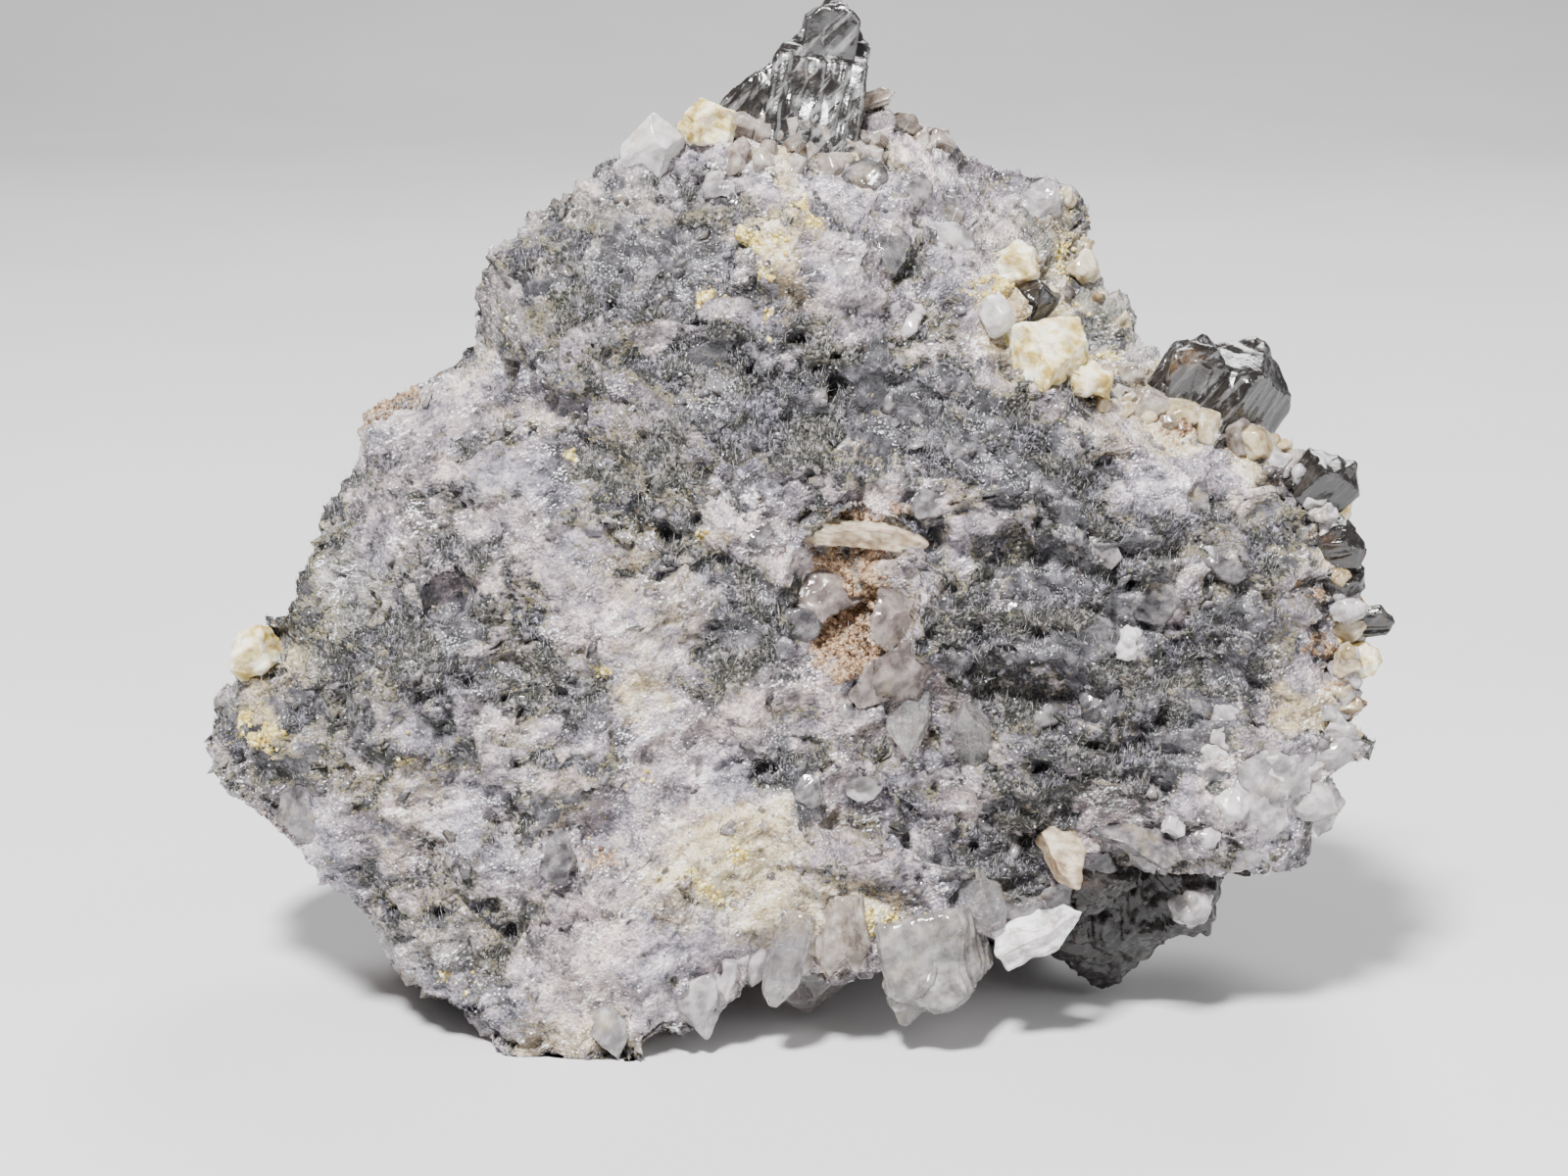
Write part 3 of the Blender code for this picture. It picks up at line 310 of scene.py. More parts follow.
# Where each mineral shows on the face: u, w, half length, half width, turn in degrees, strength. A patch
# of less than nothing takes the mineral away. A few dark patches are painted shade and a few white ones
# painted light, as marked.
ZONES = {
    "dark": [
        (-7.8, 14.2, 8.5, 3.4, -25, 1.0), (2.8, 11.0, 11.0, 4.6, -12, 1.2), (16.0, 5.0, 9.0, 4.6, -25, 1.1),
        (15.7, -3.9, 8.5, 7.2, 0, 1.1), (12.3, -14.0, 6.4, 4.6, -30, 0.9), (-6.2, 4.6, 6.0, 3.4, 20, 0.6),
        # Painted shade: on the next two lines, the dark patches at (0.8, -11.8) and (-13.0, -12.3) darken a
        # hollow and a shadow.
        (-20.0, -2.2, 10.0, 9.5, 0, 0.45), (-2.2, -2.8, 3.0, 3.0, 0, 0.8), (0.8, -11.8, 2.6, 3.2, 0, 0.9),
        (-13.0, -12.3, 2.4, 3.6, 10, 0.6), (-18.2, -19.0, 4.6, 3.8, 0, 0.55),
        (-13.2, 17.5, 5.0, 4.0, 20, 0.5), (-19.3, -0.6, 1.8, 1.8, 0, -0.4),
        (-30.0, -11.0, 2.6, 1.6, 20, 0.9), (24.0, 1.0, 6.0, 5.0, -40, 0.6),
        (-11.5, -5.5, 2.2, 3.4, 30, 0.5), (21.0, -10.5, 5.0, 2.6, 0, 0.7), (-3.0, 8.6, 8.0, 2.4, -15, 0.5),
        (-9.0, 20.2, 3.2, 2.4, 0, 0.5), (-3.1, 20.8, 2.6, 2.6, 0, 0.35), (7.3, 19.6, 2.6, 3.4, 0, 0.45),
        (9.2, 12.4, 2.2, 2.8, 0, 0.5), (-9.0, 7.2, 2.8, 3.6, 0, 0.5), (-14.8, -5.6, 2.8, 3.4, 0, 0.6),
        (-15.0, -13.6, 2.4, 2.8, 0, 0.6), (23.5, -6.4, 3.4, 4.2, 0, 0.7), (27.4, -1.8, 2.2, 3.2, 0, 0.6),
        (18.6, -9.6, 3.6, 2.2, 0, 0.7), (0.6, -14.4, 2.4, 2.2, 0, 0.5), (0.0, -1.1, 2.0, 1.7, 0, 0.8),
        (-15.7, -23.5, 2.8, 2.0, 0, 0.3), (-7.3, 14.8, 2.8, 1.2, 0, -0.5), (-2.8, 6.4, 3.8, 2.2, 0, -0.4),
        (13.4, 4.6, 1.8, 1.6, 0, -0.5), (21.3, 5.2, 3.2, 1.8, -20, -0.4), (10.2, -12.4, 2.4, 2.2, 0, -0.5),
        (-6.4, 19.4, 5.2, 2.2, 0, 0.6), (9.0, 15.7, 1.8, 1.8, 0, 0.6), (13.0, 9.6, 3.4, 2.2, -20, 0.7),
        (8.4, 2.4, 2.0, 1.8, 0, 0.7), (21.3, 1.1, 3.0, 2.0, 0, 0.5), (24.6, -3.4, 2.4, 2.4, 0, 0.6),
        (19.6, -9.6, 3.0, 1.8, 0, 0.6), (12.8, -16.4, 3.6, 2.0, -20, 0.9), (-7.8, -1.4, 1.8, 1.4, 0, 0.5),
        (-11.2, 4.5, 2.0, 1.8, 0, 0.5), (-21.3, -2.2, 2.4, 2.0, 0, 0.4), (-28.0, -2.0, 3.6, 7.0, 15, 0.5),
        (-26.4, -9.6, 4.6, 3.2, 0, 0.45), (-15.7, -14.6, 2.6, 2.0, 0, 0.6), (-3.0, 0.6, 2.6, 1.4, 0, 0.6),
        (-5.6, -9.0, 3.0, 2.0, 0, -0.5), (3.2, 14.4, 2.2, 2.6, 0, -0.5), (0.4, -19.0, 5.0, 2.0, -10, -0.5),
        # Painted shade: the four small dark patches from here to (27.2, -14.0) darken the gaps between the
        # plates of the right crust.
        (26.6, -8.4, 1.5, 0.9, 0, 0.8), (29.4, -11.6, 1.4, 1.0, 30, 0.7), (24.4, -13.6, 1.7, 0.9, 0, 0.8),
        (27.2, -14.0, 1.3, 0.8, 0, 0.7), (17.6, -8.8, 3.6, 1.6, 0, 0.6), (13.6, -14.6, 3.2, 2.4, -20, 0.6),
        (9.2, 2.0, 1.6, 1.6, 0, 0.6), (0.0, 0.0, 1.4, 1.2, 0, 0.8), (-7.8, 6.8, 2.0, 1.4, 0, 0.5),
        (-2.4, 3.4, 2.4, 1.4, 0, -0.5), (-16.2, 12.4, 1.8, 1.6, 0, -0.4), (13.4, 4.4, 2.0, 1.6, 0, -0.5),
        (9.6, -11.2, 2.0, 1.4, 0, -0.5), (15.6, -5.2, 1.8, 1.4, 0, -0.4), (4.0, 19.4, 2.4, 2.4, 0, 0.35),
        (-30.6, -8.4, 3.2, 4.2, 0, 0.4), (-24.4, -12.4, 3.0, 1.8, 30, 0.4), (7.6, 20.4, 2.0, 1.6, 0, 0.4),
        (-1.7, 20.7, 2.0, 1.8, 0, 0.4), (9.0, 12.3, 2.0, 1.8, 0, 0.4), (19.0, 1.1, 2.2, 1.8, 0, 0.5),
        (10.1, 0.0, 2.2, 2.0, 0, 0.6), (-18.5, -2.2, 2.2, 1.8, 0, 0.4), (-1.1, -11.2, 2.4, 2.2, 0, 0.6),
        (-12.3, -7.8, 2.2, 1.6, 0, 0.35), (-20.2, -14.0, 2.4, 1.8, 0, 0.35), (0.0, 16.2, 2.4, 1.6, 0, -0.4),
        (6.7, 16.8, 2.2, 1.8, 0, -0.35), (26.9, -9.0, 1.6, 1.0, 0, 0.4), (-28.6, -6.2, 2.6, 1.8, 0, 0.4),
        (24.8, -11.6, 1.0, 1.4, 0, 0.5), (-1.1, 3.1, 2.8, 1.6, 0, -0.5), (6.2, 5.0, 2.2, 1.4, 0, -0.4),
        (-3.9, -8.4, 2.4, 1.6, 0, -0.4), (0.0, 16.6, 2.4, 1.6, 0, -0.3), (9.5, -5.0, 2.0, 2.0, 0, 0.6),
        (0.0, -1.1, 1.8, 1.4, 0, 0.5), (17.0, 0.6, 3.2, 1.8, 0, 0.4), (24.6, -8.6, 1.6, 1.6, 0, 0.5),
        (2.2, -12.3, 1.8, 1.6, 0, 0.4), (-18.5, -2.2, 2.0, 1.8, 0, 0.35), (-11.8, -7.8, 1.8, 1.8, 0, 0.35),
        # On the next line, the patch at (1.2, 1.6) takes felt away where painted light lifts the pocket's
        # shade.
        (23.0, -12.9, 3.4, 1.2, 0, -0.4), (1.2, 1.6, 2.2, 1.6, 0, -0.6), (13.4, 4.5, 2.0, 1.4, 0, -0.4),
        (9.5, -11.6, 3.0, 2.0, 0, -0.5), (15.7, -5.0, 2.0, 1.4, 0, -0.4), (23.4, 1.1, 2.0, 2.0, 0, -0.5),
        (4.4, -19.8, 2.6, 2.6, 0, -0.6), (9.0, 2.6, 2.0, 1.6, 0, 0.4), (-2.2, -1.7, 2.6, 1.6, 0, 0.4),
        (15.7, -10.4, 2.6, 1.6, 0, 0.5), (-20.2, -15.4, 2.6, 2.0, 0, 0.6), (3.4, 14.0, 2.0, 1.8, 0, 0.3),
        (-9.5, 17.6, 4.2, 1.6, -10, 0.5), (17.5, -0.6, 4.0, 2.0, 0, 0.3), (27.4, -3.4, 2.6, 2.4, 0, 0.5),
        (23.5, -8.0, 2.4, 2.0, 0, 0.4), (19.0, -10.4, 3.4, 1.6, 0, 0.4), (-19.8, -3.4, 2.2, 3.0, 0, 0.4),
        (-3.4, -2.2, 2.8, 1.6, 0, 0.5), (-1.1, -11.8, 1.8, 2.0, 0, 0.4), (4.5, -13.0, 1.6, 1.6, 0, 0.4),
        (10.5, 23.6, 2.6, 1.8, -40, -0.7), (-2.2, 2.2, 2.4, 2.0, 0, -0.5), (-0.6, 16.6, 2.6, 2.0, 0, -0.4),
        (-9.0, 14.6, 2.8, 1.4, -10, -0.5), (-0.6, 14.4, 2.2, 1.6, 0, -0.4), (-3.4, 7.8, 2.4, 1.6, 0, -0.3),
        (26.9, -5.6, 2.4, 2.2, 0, 0.4), (17.9, 2.2, 2.4, 1.8, 0, 0.35), (8.4, 10.1, 1.8, 2.0, 0, 0.4),
        (-11.2, -6.7, 2.0, 1.6, 0, 0.3), (-19.2, -2.4, 1.8, 1.6, 0, 0.3), (0.2, -12.4, 1.8, 1.6, 0, 0.35),
        (-2.8, 25.4, 3.4, 1.8, 0, -0.5), (6.9, 5.4, 2.4, 1.4, 0, -0.4), (22.6, -0.6, 1.8, 1.4, 0, -0.5),
        (17.9, -12.9, 2.6, 1.4, 0, -0.4), (-19.0, -20.7, 2.4, 1.8, 0, -0.4), (0.0, 12.9, 2.0, 1.8, 0, -0.4),
        (9.0, 7.8, 2.0, 1.6, 0, 0.4), (17.9, 1.1, 2.2, 1.4, 0, 0.4), (26.9, -6.7, 2.0, 1.6, 0, 0.3),
        (3.4, 14.6, 2.0, 1.6, 0, 0.3), (-3.4, -3.4, 2.2, 1.6, 0, 0.4),
    ],
    "white": [
        (-9.0, -4.5, 9.0, 4.4, -55, 1.0), (-4.5, -14.6, 11.0, 5.6, 5, 1.0),
        (-18.5, -14.0, 7.0, 4.0, -20, 0.9), (-16.5, -10.6, 3.2, 3.0, 0, 1.0),
        (-21.5, 9.4, 5.0, 4.6, 50, 0.8), (5.6, 20.7, 7.0, 7.2, 0, 0.5), (10.4, 12.6, 3.6, 4.6, 20, 0.9),
        (24.0, 7.8, 6.0, 3.0, -25, 0.9), (28.0, -12.0, 6.6, 5.6, 0, 0.8), (-2.0, 3.5, 4.4, 2.0, -5, 0.8),
        (-12.6, -23.0, 8.0, 4.4, 0, 0.8), (20.4, -3.0, 2.0, 1.4, -25, 0.9), (6.5, -6.5, 3.6, 2.6, 0, 0.6),
        (4.6, -11.0, 2.4, 2.0, 0, 0.7), (-16.0, 4.0, 4.0, 3.4, 0, 0.6), (-27.0, -14.0, 3.4, 2.6, 30, 0.8),
        (7.0, -19.5, 5.0, 2.6, 0, 0.8), (-2.5, 24.5, 5.0, 3.0, 0, 0.6), (-7.3, 14.8, 2.8, 1.2, -10, 1.0),
        (-17.6, 11.0, 1.6, 3.2, 20, 0.9), (-2.2, -20.0, 4.4, 2.4, 0, 0.8), (21.3, 5.4, 3.2, 1.8, -20, 0.8),
        (13.4, 20.0, 2.6, 2.6, 0, 0.6), (-6.8, 25.0, 2.4, 1.6, 0, 1.0), (-5.6, -9.0, 3.4, 2.4, 0, 0.6),
        (10.1, -11.4, 2.6, 1.6, 0, 0.5), (0.4, -19.0, 6.0, 2.4, -10, 0.6), (-7.8, -24.6, 2.6, 1.6, 0, 0.6),
        (-20.2, -20.2, 2.4, 1.8, 0, 0.5), (3.2, 14.4, 2.2, 3.0, 0, 0.6), (-11.2, 9.0, 2.6, 1.8, 0, 0.5),
        (9.6, 22.6, 3.4, 2.2, -30, 0.7), (-28.8, -3.4, 1.6, 3.0, 20, 0.6), (-3.4, 2.8, 3.0, 1.8, 0, 0.5),
        (-5.6, -20.2, 3.0, 2.2, 0, 0.5), (4.5, -19.0, 3.0, 1.6, 0, 0.5), (-20.2, 1.1, 2.6, 2.0, 0, 0.5),
        (-14.6, 10.6, 2.0, 1.4, 0, 0.4), (-1.1, 3.1, 2.8, 1.6, 0, 0.8), (6.2, 5.0, 2.2, 1.4, 0, 0.6),
        (-3.9, -8.4, 2.6, 1.8, 0, 0.4), (-3.4, -20.7, 3.0, 1.8, 0, 0.4), (-7.8, -23.5, 2.4, 1.6, 0, 0.4),
        (-19.6, -20.2, 2.4, 1.8, 0, 0.5), (-15.7, 12.9, 1.8, 1.4, 0, 0.5), (11.0, 21.4, 3.4, 2.0, -35, 0.7),
        (15.7, 19.0, 2.2, 2.6, 0, 0.5), (23.0, -12.9, 3.4, 1.4, 0, 0.5), (28.4, -7.8, 2.2, 1.6, 0, 0.6),
        # The white patch at (1.2, 1.6) on the next line is partly white quartz and partly painted light that
        # lifts the pocket's shade.
        (1.2, 1.6, 2.2, 1.6, 0, 0.8), (13.4, 4.5, 2.0, 1.4, 0, 0.6), (9.5, -11.6, 3.0, 2.0, 0, 0.6),
        (15.7, -5.0, 2.0, 1.4, 0, 0.4), (23.4, 1.1, 2.0, 2.0, 0, 0.5), (4.4, -19.8, 2.6, 2.8, 0, 0.7),
        (-3.4, -9.5, 2.8, 2.0, 0, 0.5), (-16.2, 12.3, 2.0, 2.0, 0, 0.5), (9.0, 23.4, 3.4, 2.0, -35, 0.6),
        (10.5, 23.6, 2.6, 1.8, -40, 0.7), (-2.2, 2.2, 2.4, 2.0, 0, 0.6), (-0.6, 16.6, 2.6, 2.0, 0, 0.6),
        (8.4, 24.8, 2.8, 1.6, 0, 0.6), (-9.0, 14.6, 2.8, 1.4, -10, 0.6), (-15.7, 11.2, 2.2, 2.0, 0, 0.5),
        (-0.6, 14.4, 2.2, 1.6, 0, 0.5), (-18.6, 1.6, 2.4, 1.2, 0, 0.4), (-24.6, -2.2, 2.4, 2.8, 0, 0.4),
        # Painted light: the white patch at (-4.6, -20.6) on the next line brightens the lower edge in the
        # shade of a ledge.
        (-4.6, -20.6, 3.6, 1.8, 0, 0.6), (-24.6, -13.4, 2.6, 2.0, 0, 0.4), (-9.0, -11.2, 3.2, 2.0, 0, 0.4),
        (-1.7, -7.3, 2.4, 1.8, 0, 0.3), (-2.8, 25.6, 3.4, 1.8, 0, 0.8), (6.9, 5.4, 2.4, 1.4, 0, 0.5),
        (22.6, -0.6, 1.8, 1.4, 0, 0.5), (26.9, -13.4, 2.6, 1.4, 0, 0.5), (17.9, -12.9, 2.6, 1.4, 0, 0.5),
    ],
    "green": [
        (-13.4, 19.0, 6.5, 4.6, 10, 1.0), (-27.0, -1.0, 5.0, 9.0, 20, 1.1), (17.0, 18.0, 5.0, 8.0, 20, 1.3),
        (-31.0, -8.0, 4.0, 4.0, 0, 1.0), (-20.0, -20.0, 5.0, 4.0, 0, 0.5), (-17.0, 14.0, 3.4, 2.4, 0, 0.6),
        (29.0, 3.0, 4.0, 4.0, 0, 0.6), (-8.0, 22.0, 4.0, 3.0, 0, 0.5),
    ],
    "yellow": [
        (0.6, 22.6, 0.9, 1.6, 20, 1.1), (1.2, 20.6, 0.7, 1.4, -10, 1.0), (-0.4, 19.2, 1.6, 1.1, 30, 1.9),
        (-1.7, 17.4, 1.3, 1.1, 0, 1.5), (-0.8, 15.6, 0.9, 1.3, 0, 0.9), (-5.6, 17.2, 1.6, 0.8, -20, 0.9),
        (-4.4, -17.2, 3.4, 1.1, -8, 1.2), (-31.0, -7.4, 2.4, 1.8, 0, 0.8), (-20.4, -10.0, 4.0, 2.4, 0, 0.5),
        (24.6, 10.4, 4.6, 1.1, -22, 1.1), (32.0, -4.6, 1.8, 2.6, 0, 1.0), (-14.0, 15.0, 4.0, 1.4, 0, 0.35),
        (17.0, 20.5, 3.0, 3.0, 0, 0.6), (8.5, -19.0, 2.0, 1.2, 0, 0.9), (-11.5, 7.2, 1.6, 1.2, 0, 0.9),
        (17.8, 13.6, 2.6, 1.4, -30, 0.8), (-19.0, -22.5, 3.0, 1.2, 20, 0.7),
        (-9.0, -11.5, 2.4, 0.9, 20, 0.6), (6.0, -19.4, 1.8, 1.6, 0, 1.4), (-2.6, -15.6, 1.4, 1.0, 0, 1.3),
        (-29.6, -8.4, 2.2, 1.4, 0, 1.1), (-11.6, -4.2, 1.6, 2.6, 30, 0.7), (33.0, 3.2, 1.0, 1.8, 0, 1.2),
        (-3.8, 2.2, 2.2, 0.7, -10, 0.8), (12.4, 17.4, 1.6, 1.6, 0, 0.9), (15.8, 17.6, 1.8, 2.4, 0, 0.9),
        (4.8, -19.6, 2.0, 1.6, 0, 0.7),
    ],
    "rust": [
        (3.9, -3.6, 3.4, 2.8, -20, 1.9), (5.2, 3.6, 3.2, 1.7, 0, 1.8), (5.0, 0.2, 1.8, 3.4, 10, 1.5),
        (2.9, 1.6, 1.8, 1.2, 0, 1.1), (-30.6, -3.0, 1.6, 2.4, 20, 0.9), (31.8, -6.4, 1.6, 2.4, 0, 1.0),
        (-10.4, -15.0, 1.6, 1.0, 0, 0.6), (-16.0, -27.0, 2.0, 1.4, 0, 0.8), (23.0, 9.4, 2.4, 0.9, -25, 0.7),
        (32.6, 0.0, 1.0, 1.4, 0, 1.2), (30.8, -4.4, 1.4, 2.0, 0, 0.9), (30.4, -0.6, 0.9, 1.4, 0, 0.9),
    ],
    "warm": [
        (2.8, 25.2, 7.6, 2.6, 0, 1.0), (0.0, 20.7, 2.0, 4.6, 0, 0.8), (14.6, 13.0, 5.0, 3.4, 0, 0.7),
        (21.3, 11.0, 6.4, 2.2, -22, 1.1), (16.6, 19.4, 3.6, 5.0, 0, 0.8), (32.2, 0.6, 2.0, 8.0, 0, 1.0),
        (31.6, -6.4, 2.2, 2.8, 0, 1.0), (4.6, 0.0, 4.6, 6.4, 0, 0.8), (-30.4, -3.0, 2.2, 3.4, 0, 1.0),
        (-22.0, -15.0, 6.0, 3.0, 30, 0.5), (-12.0, -26.0, 7.0, 2.6, 0, 0.8),
        (-3.9, -16.4, 4.4, 2.0, 0, 0.7), (-8.6, -2.6, 5.4, 4.0, 60, 0.6), (-29.6, -7.6, 3.6, 3.2, 0, 0.7),
        (18.4, 8.8, 4.0, 2.0, -20, 0.6), (-14.0, 18.4, 3.4, 2.2, 0, 0.6), (-18.0, 12.2, 3.0, 2.0, 40, 0.8),
        (27.0, 6.0, 4.0, 2.6, -30, 0.6), (4.6, -2.2, 3.0, 3.6, 0, 0.7), (13.4, 16.0, 2.6, 3.6, 0, 1.0),
        (25.2, 8.6, 4.4, 1.8, -25, 0.8), (30.4, -6.6, 3.0, 3.4, 0, 0.8), (5.4, -18.4, 4.2, 2.2, 0, 1.0),
        (-2.8, -15.0, 4.4, 2.4, 0, 1.0), (-0.6, -18.4, 6.4, 2.6, -5, 0.9), (-29.6, -8.6, 2.6, 2.0, 0, 0.9),
        (-8.4, -6.8, 4.6, 2.8, 40, 0.5), (-14.6, 10.0, 3.0, 2.6, 0, 0.6), (-22.6, -11.0, 4.6, 3.0, 0, 0.6),
        (1.0, 16.4, 3.0, 3.0, 0, 0.6), (-28.6, -4.0, 2.6, 4.0, 0, 0.5), (-4.0, 2.2, 4.4, 2.0, 0, 0.6),
        (-7.8, -6.7, 3.0, 2.4, 0, 0.4), (-6.7, -18.0, 3.4, 3.4, 0, 0.6), (4.5, -18.0, 3.0, 3.4, 0, 0.6),
        (29.0, -6.7, 2.4, 2.0, 0, 0.6), (22.4, 9.2, 4.0, 1.6, -25, 0.7), (13.4, 16.8, 2.4, 2.4, 0, 0.5),
        (0.6, 20.0, 2.6, 3.0, 0, 0.4), (-2.8, -14.0, 8.0, 5.0, 0, 0.4), (30.4, -1.1, 2.0, 2.2, 0, 0.5),
        (31.0, -7.8, 2.2, 2.0, 0, 0.8), (-0.6, 18.5, 2.6, 2.6, 0, 0.4), (12.0, 15.0, 2.0, 2.4, 0, 0.5),
        (7.8, 3.4, 2.4, 1.2, 0, 0.7), (-9.0, 1.1, 4.4, 1.6, 0, 0.5), (7.0, -14.6, 3.6, 3.0, 0, 0.4),
        (-4.5, -0.6, 3.4, 2.4, 0, 0.4), (3.4, -20.2, 3.6, 2.4, 0, 0.4), (-7.8, -14.6, 4.0, 3.0, 0, 0.4),
        (-15.7, 0.0, 4.0, 4.4, 0, -0.5), (-14.6, 15.7, 3.4, 2.6, 0, -0.5), (-7.3, 6.7, 3.2, 4.0, 0, -0.4),
        (28.6, -5.6, 2.2, 2.0, 0, -0.5),
    ],
}
# Crumbs that fill the pocket but for the end of its blade, and the smoother crust on the right.
POCKET_FILL = [(3.8, -1.6, 3.4, 3.2, 0, 1.1), (4.6, 0.9, 3.2, 1.6, 0, 1.4), (8.0, 2.8, 2.4, 1.1, -5, -1.2)]
CRUST = (28.5, -11.5, 6.4, 5.4, 0, 0.4)
GLASSY_FROM = (0.60, 0.66)
FACE_DEPTH = (6.0, 11.0)
ZONE_WANDER = 1.3
# Soft noises as weight, size and salt: how the patches wander, and where stains gather and veins run.
CLUMPS = ((0.9, 0.9, 58), (0.4, 0.4, 59))
VEINS = ((1.0, 4.2, 66), (0.55, 1.7, 67), (0.3, 0.8, 68))
VEIN_WIDTH = (0.03, 0.34)
# Away from the face the same minerals lie in bands: size of the patches, share and salt.
BACK_BANDS = {"dark": (9.0, 0.10, 61), "white": (8.0, 0.15, 62), "green": (11.0, -0.05, 63),
              "yellow": (5.0, -0.50, 64), "rust": (6.0, -0.55, 65), "warm": (7.0, -0.15, 60)}


def chips(points, size, tilt, salt):
    """Broken plates: the space nearest to one seed is one plate. Gives the height of each plate's own
    tilted plane, about -0.6 to 0.6, and a number from 0 to 1 of its own."""
    nearest, height, own = np.full(len(points), np.inf), np.zeros(len(points)), np.zeros(len(points))
    for away, near in neighbour_seeds(points, size, salt):
        gap = (away**2).sum(axis=-1)
        closer = gap < nearest
        lean = scatter_way(near, salt + 5) - 0.5
        plane = 0.6 * (scatter(near, salt + 8) - 0.5) + tilt * (away * lean).sum(axis=-1)
        nearest = np.where(closer, gap, nearest)
        height = np.where(closer, plane, height)
        own = np.where(closer, scatter(near, salt + 9), own)
    return height, own


def mineral_shares(points):
    """How much of each mineral shows at each point, 0 to 1: on the face the sum of its patches, read at a
    place that wanders by ZONE_WANDER, and away from the face bands of soft noise. Dark felt also runs
    between the quartz as ragged veins, where a soft noise is near nothing, and ochre and rust gather in
    clumps."""
    drift = wander(points, 2.6, 70) + 0.5 * wander(points, 1.1, 80)
    u, w, d = layout(points + ZONE_WANDER * drift)
    away = smooth_step(d - shoulder(u, w), *FACE_DEPTH)
    shares = {}
    for mineral, patches in ZONES.items():
        size, share, salt = BACK_BANDS[mineral]
        course = layered(points, ((1.0, size, salt), (0.5, size / 2.7, salt + 9)))
        bands = smooth_step(course, -share - 0.1, 0.6 - share)
        on_face = sum(swell(u, w, patch) for patch in patches)
        shares[mineral] = np.clip((1 - away) * on_face + away * bands, 0, 1)
    clumps = layered(points, CLUMPS)
    shares["yellow"] = np.clip(shares["yellow"] * (0.7 + clumps), 0, 1)
    shares["rust"] = np.clip(shares["rust"] * (0.85 + 1.2 * clumps), 0, 1)
    veins = (1 - smooth_step(abs(layered(points, VEINS)), *VEIN_WIDTH)) * (0.95 - 0.75 * shares["white"])
    shares["dark"] = np.clip(shares["dark"] + 0.8 * veins, 0, 1)
    return shares


# The relief: plates and flakes as size, tilt and salt, hollows and pits as height, size, tilt and salt.
PLATES = (2.1, 1.5, 97)
PLATE_STRETCH = (0.7, 1.0, 1.1)
PLATE_HEIGHT = 0.72
FLAKES = (0.9, 1.6, 98)
FLAKE_HEIGHT = 0.30
HOLLOWS = (0.6, 2.9, 1.6, 100)
PITS = (0.2, 0.66, 1.6, 120)
HOLE_FROM = (0.38, 0.76)
HOLE_DEPTH = 0.9
FELT_DEPTH = 0.3
LEDGE_WARP = ((1.6, 5.0, 90), (0.5, 1.4, 91))
LEDGE_RISE = 2.3
LEDGE_SLANT = 0.12
LEDGE_HEIGHT = 0.85
LEDGES_FROM = (2.0, 10.0)
STAIR_TREAD = 0.8
STAIR_DROP = 0.2


def stair(rise):
    """A stair from -0.5 to 0.5: evenly up over STAIR_TREAD of each step, and down over STAIR_DROP of it."""
    part = rise % 1
    return np.where(part < STAIR_TREAD, part / STAIR_TREAD, (1 - part) / STAIR_DROP) - 0.5


def rock_relief(points, shares):
    """The grain of the broken rock: tilted plates and flakes, hollows that meet in ridges, small pits, deeper
    ones in the dark felt, steps across the right of the face, and crumbs that partly fill the pocket. Also
    gives the own numbers of the plates and flakes, and the holes, for the colours."""
    u, w, d = layout(points)
    ledges = stair((w + LEDGE_SLANT * u + layered(points, LEDGE_WARP)) / LEDGE_RISE)
    ledges = LEDGE_HEIGHT * ledges * smooth_step(u, *LEDGES_FROM) * shares["dark"]
    bent = points + 0.5 * wander(points, 1.2, 93)
    plate, plate_tone = chips(bent * PLATE_STRETCH, *PLATES)
    flake, flake_tone = chips(bent, *FLAKES)
    calm = 1 - 0.45 * shares["white"] - swell(u, w, CRUST) * (1 - smooth_step(d, *FACE_DEPTH))
    glassy = smooth_step(plate_tone, *GLASSY_FROM) * shares["dark"]
    broken = calm * (PLATE_HEIGHT * plate + FLAKE_HEIGHT * flake)
    pitted = calm * (1 - 0.75 * glassy) * (scallops(points, *PITS) + 0.10 * soft_noise(points, 0.4, 121))
    holes = smooth_step(soft_noise(points, 1.0, 130), *HOLE_FROM) * (1 - glassy) * shares["dark"]
    sunk = -FELT_DEPTH * shares["dark"] - HOLE_DEPTH * holes
    crumbs = (0.5 + 0.6 * soft_noise(points, 0.6, 140)) * shares["rust"]
    crumbs = crumbs + sum(swell(u, w, patch) for patch in POCKET_FILL)
    own = {"plate": plate_tone, "flake": flake_tone, "hole": holes}
    return broken + scallops(points, *HOLLOWS) + pitted + ledges + sunk + crumbs, own


def into_mesh(name, points, faces, shares=None, smooth=False):
    """A mesh object from arrays of points, in room millimetres, and triangles, with nothing under the floor.
    Each share becomes a number on every point, for the material to read."""
    mesh = bpy.data.meshes.new(name)
    points = np.maximum(points, [-np.inf, -np.inf, 0])
    mesh.vertices.add(len(points))
    mesh.vertices.foreach_set("co", (np.asarray(points) * MM).astype(np.float32).ravel())
    mesh.loops.add(faces.size)
    mesh.loops.foreach_set("vertex_index", faces.astype(np.int32).ravel())
    mesh.polygons.add(len(faces))
    mesh.polygons.foreach_set("loop_start", np.arange(0, faces.size, 3, dtype=np.int32))
    mesh.update(calc_edges=True)
    for share, values in (shares or {}).items():
        mesh.attributes.new(share, "FLOAT", "POINT").data.foreach_set("value", values.astype(np.float32))
    if smooth:
        mesh.shade_smooth()
    made = bpy.data.objects.new(name, mesh)
    bpy.context.scene.collection.objects.link(made)
    return made


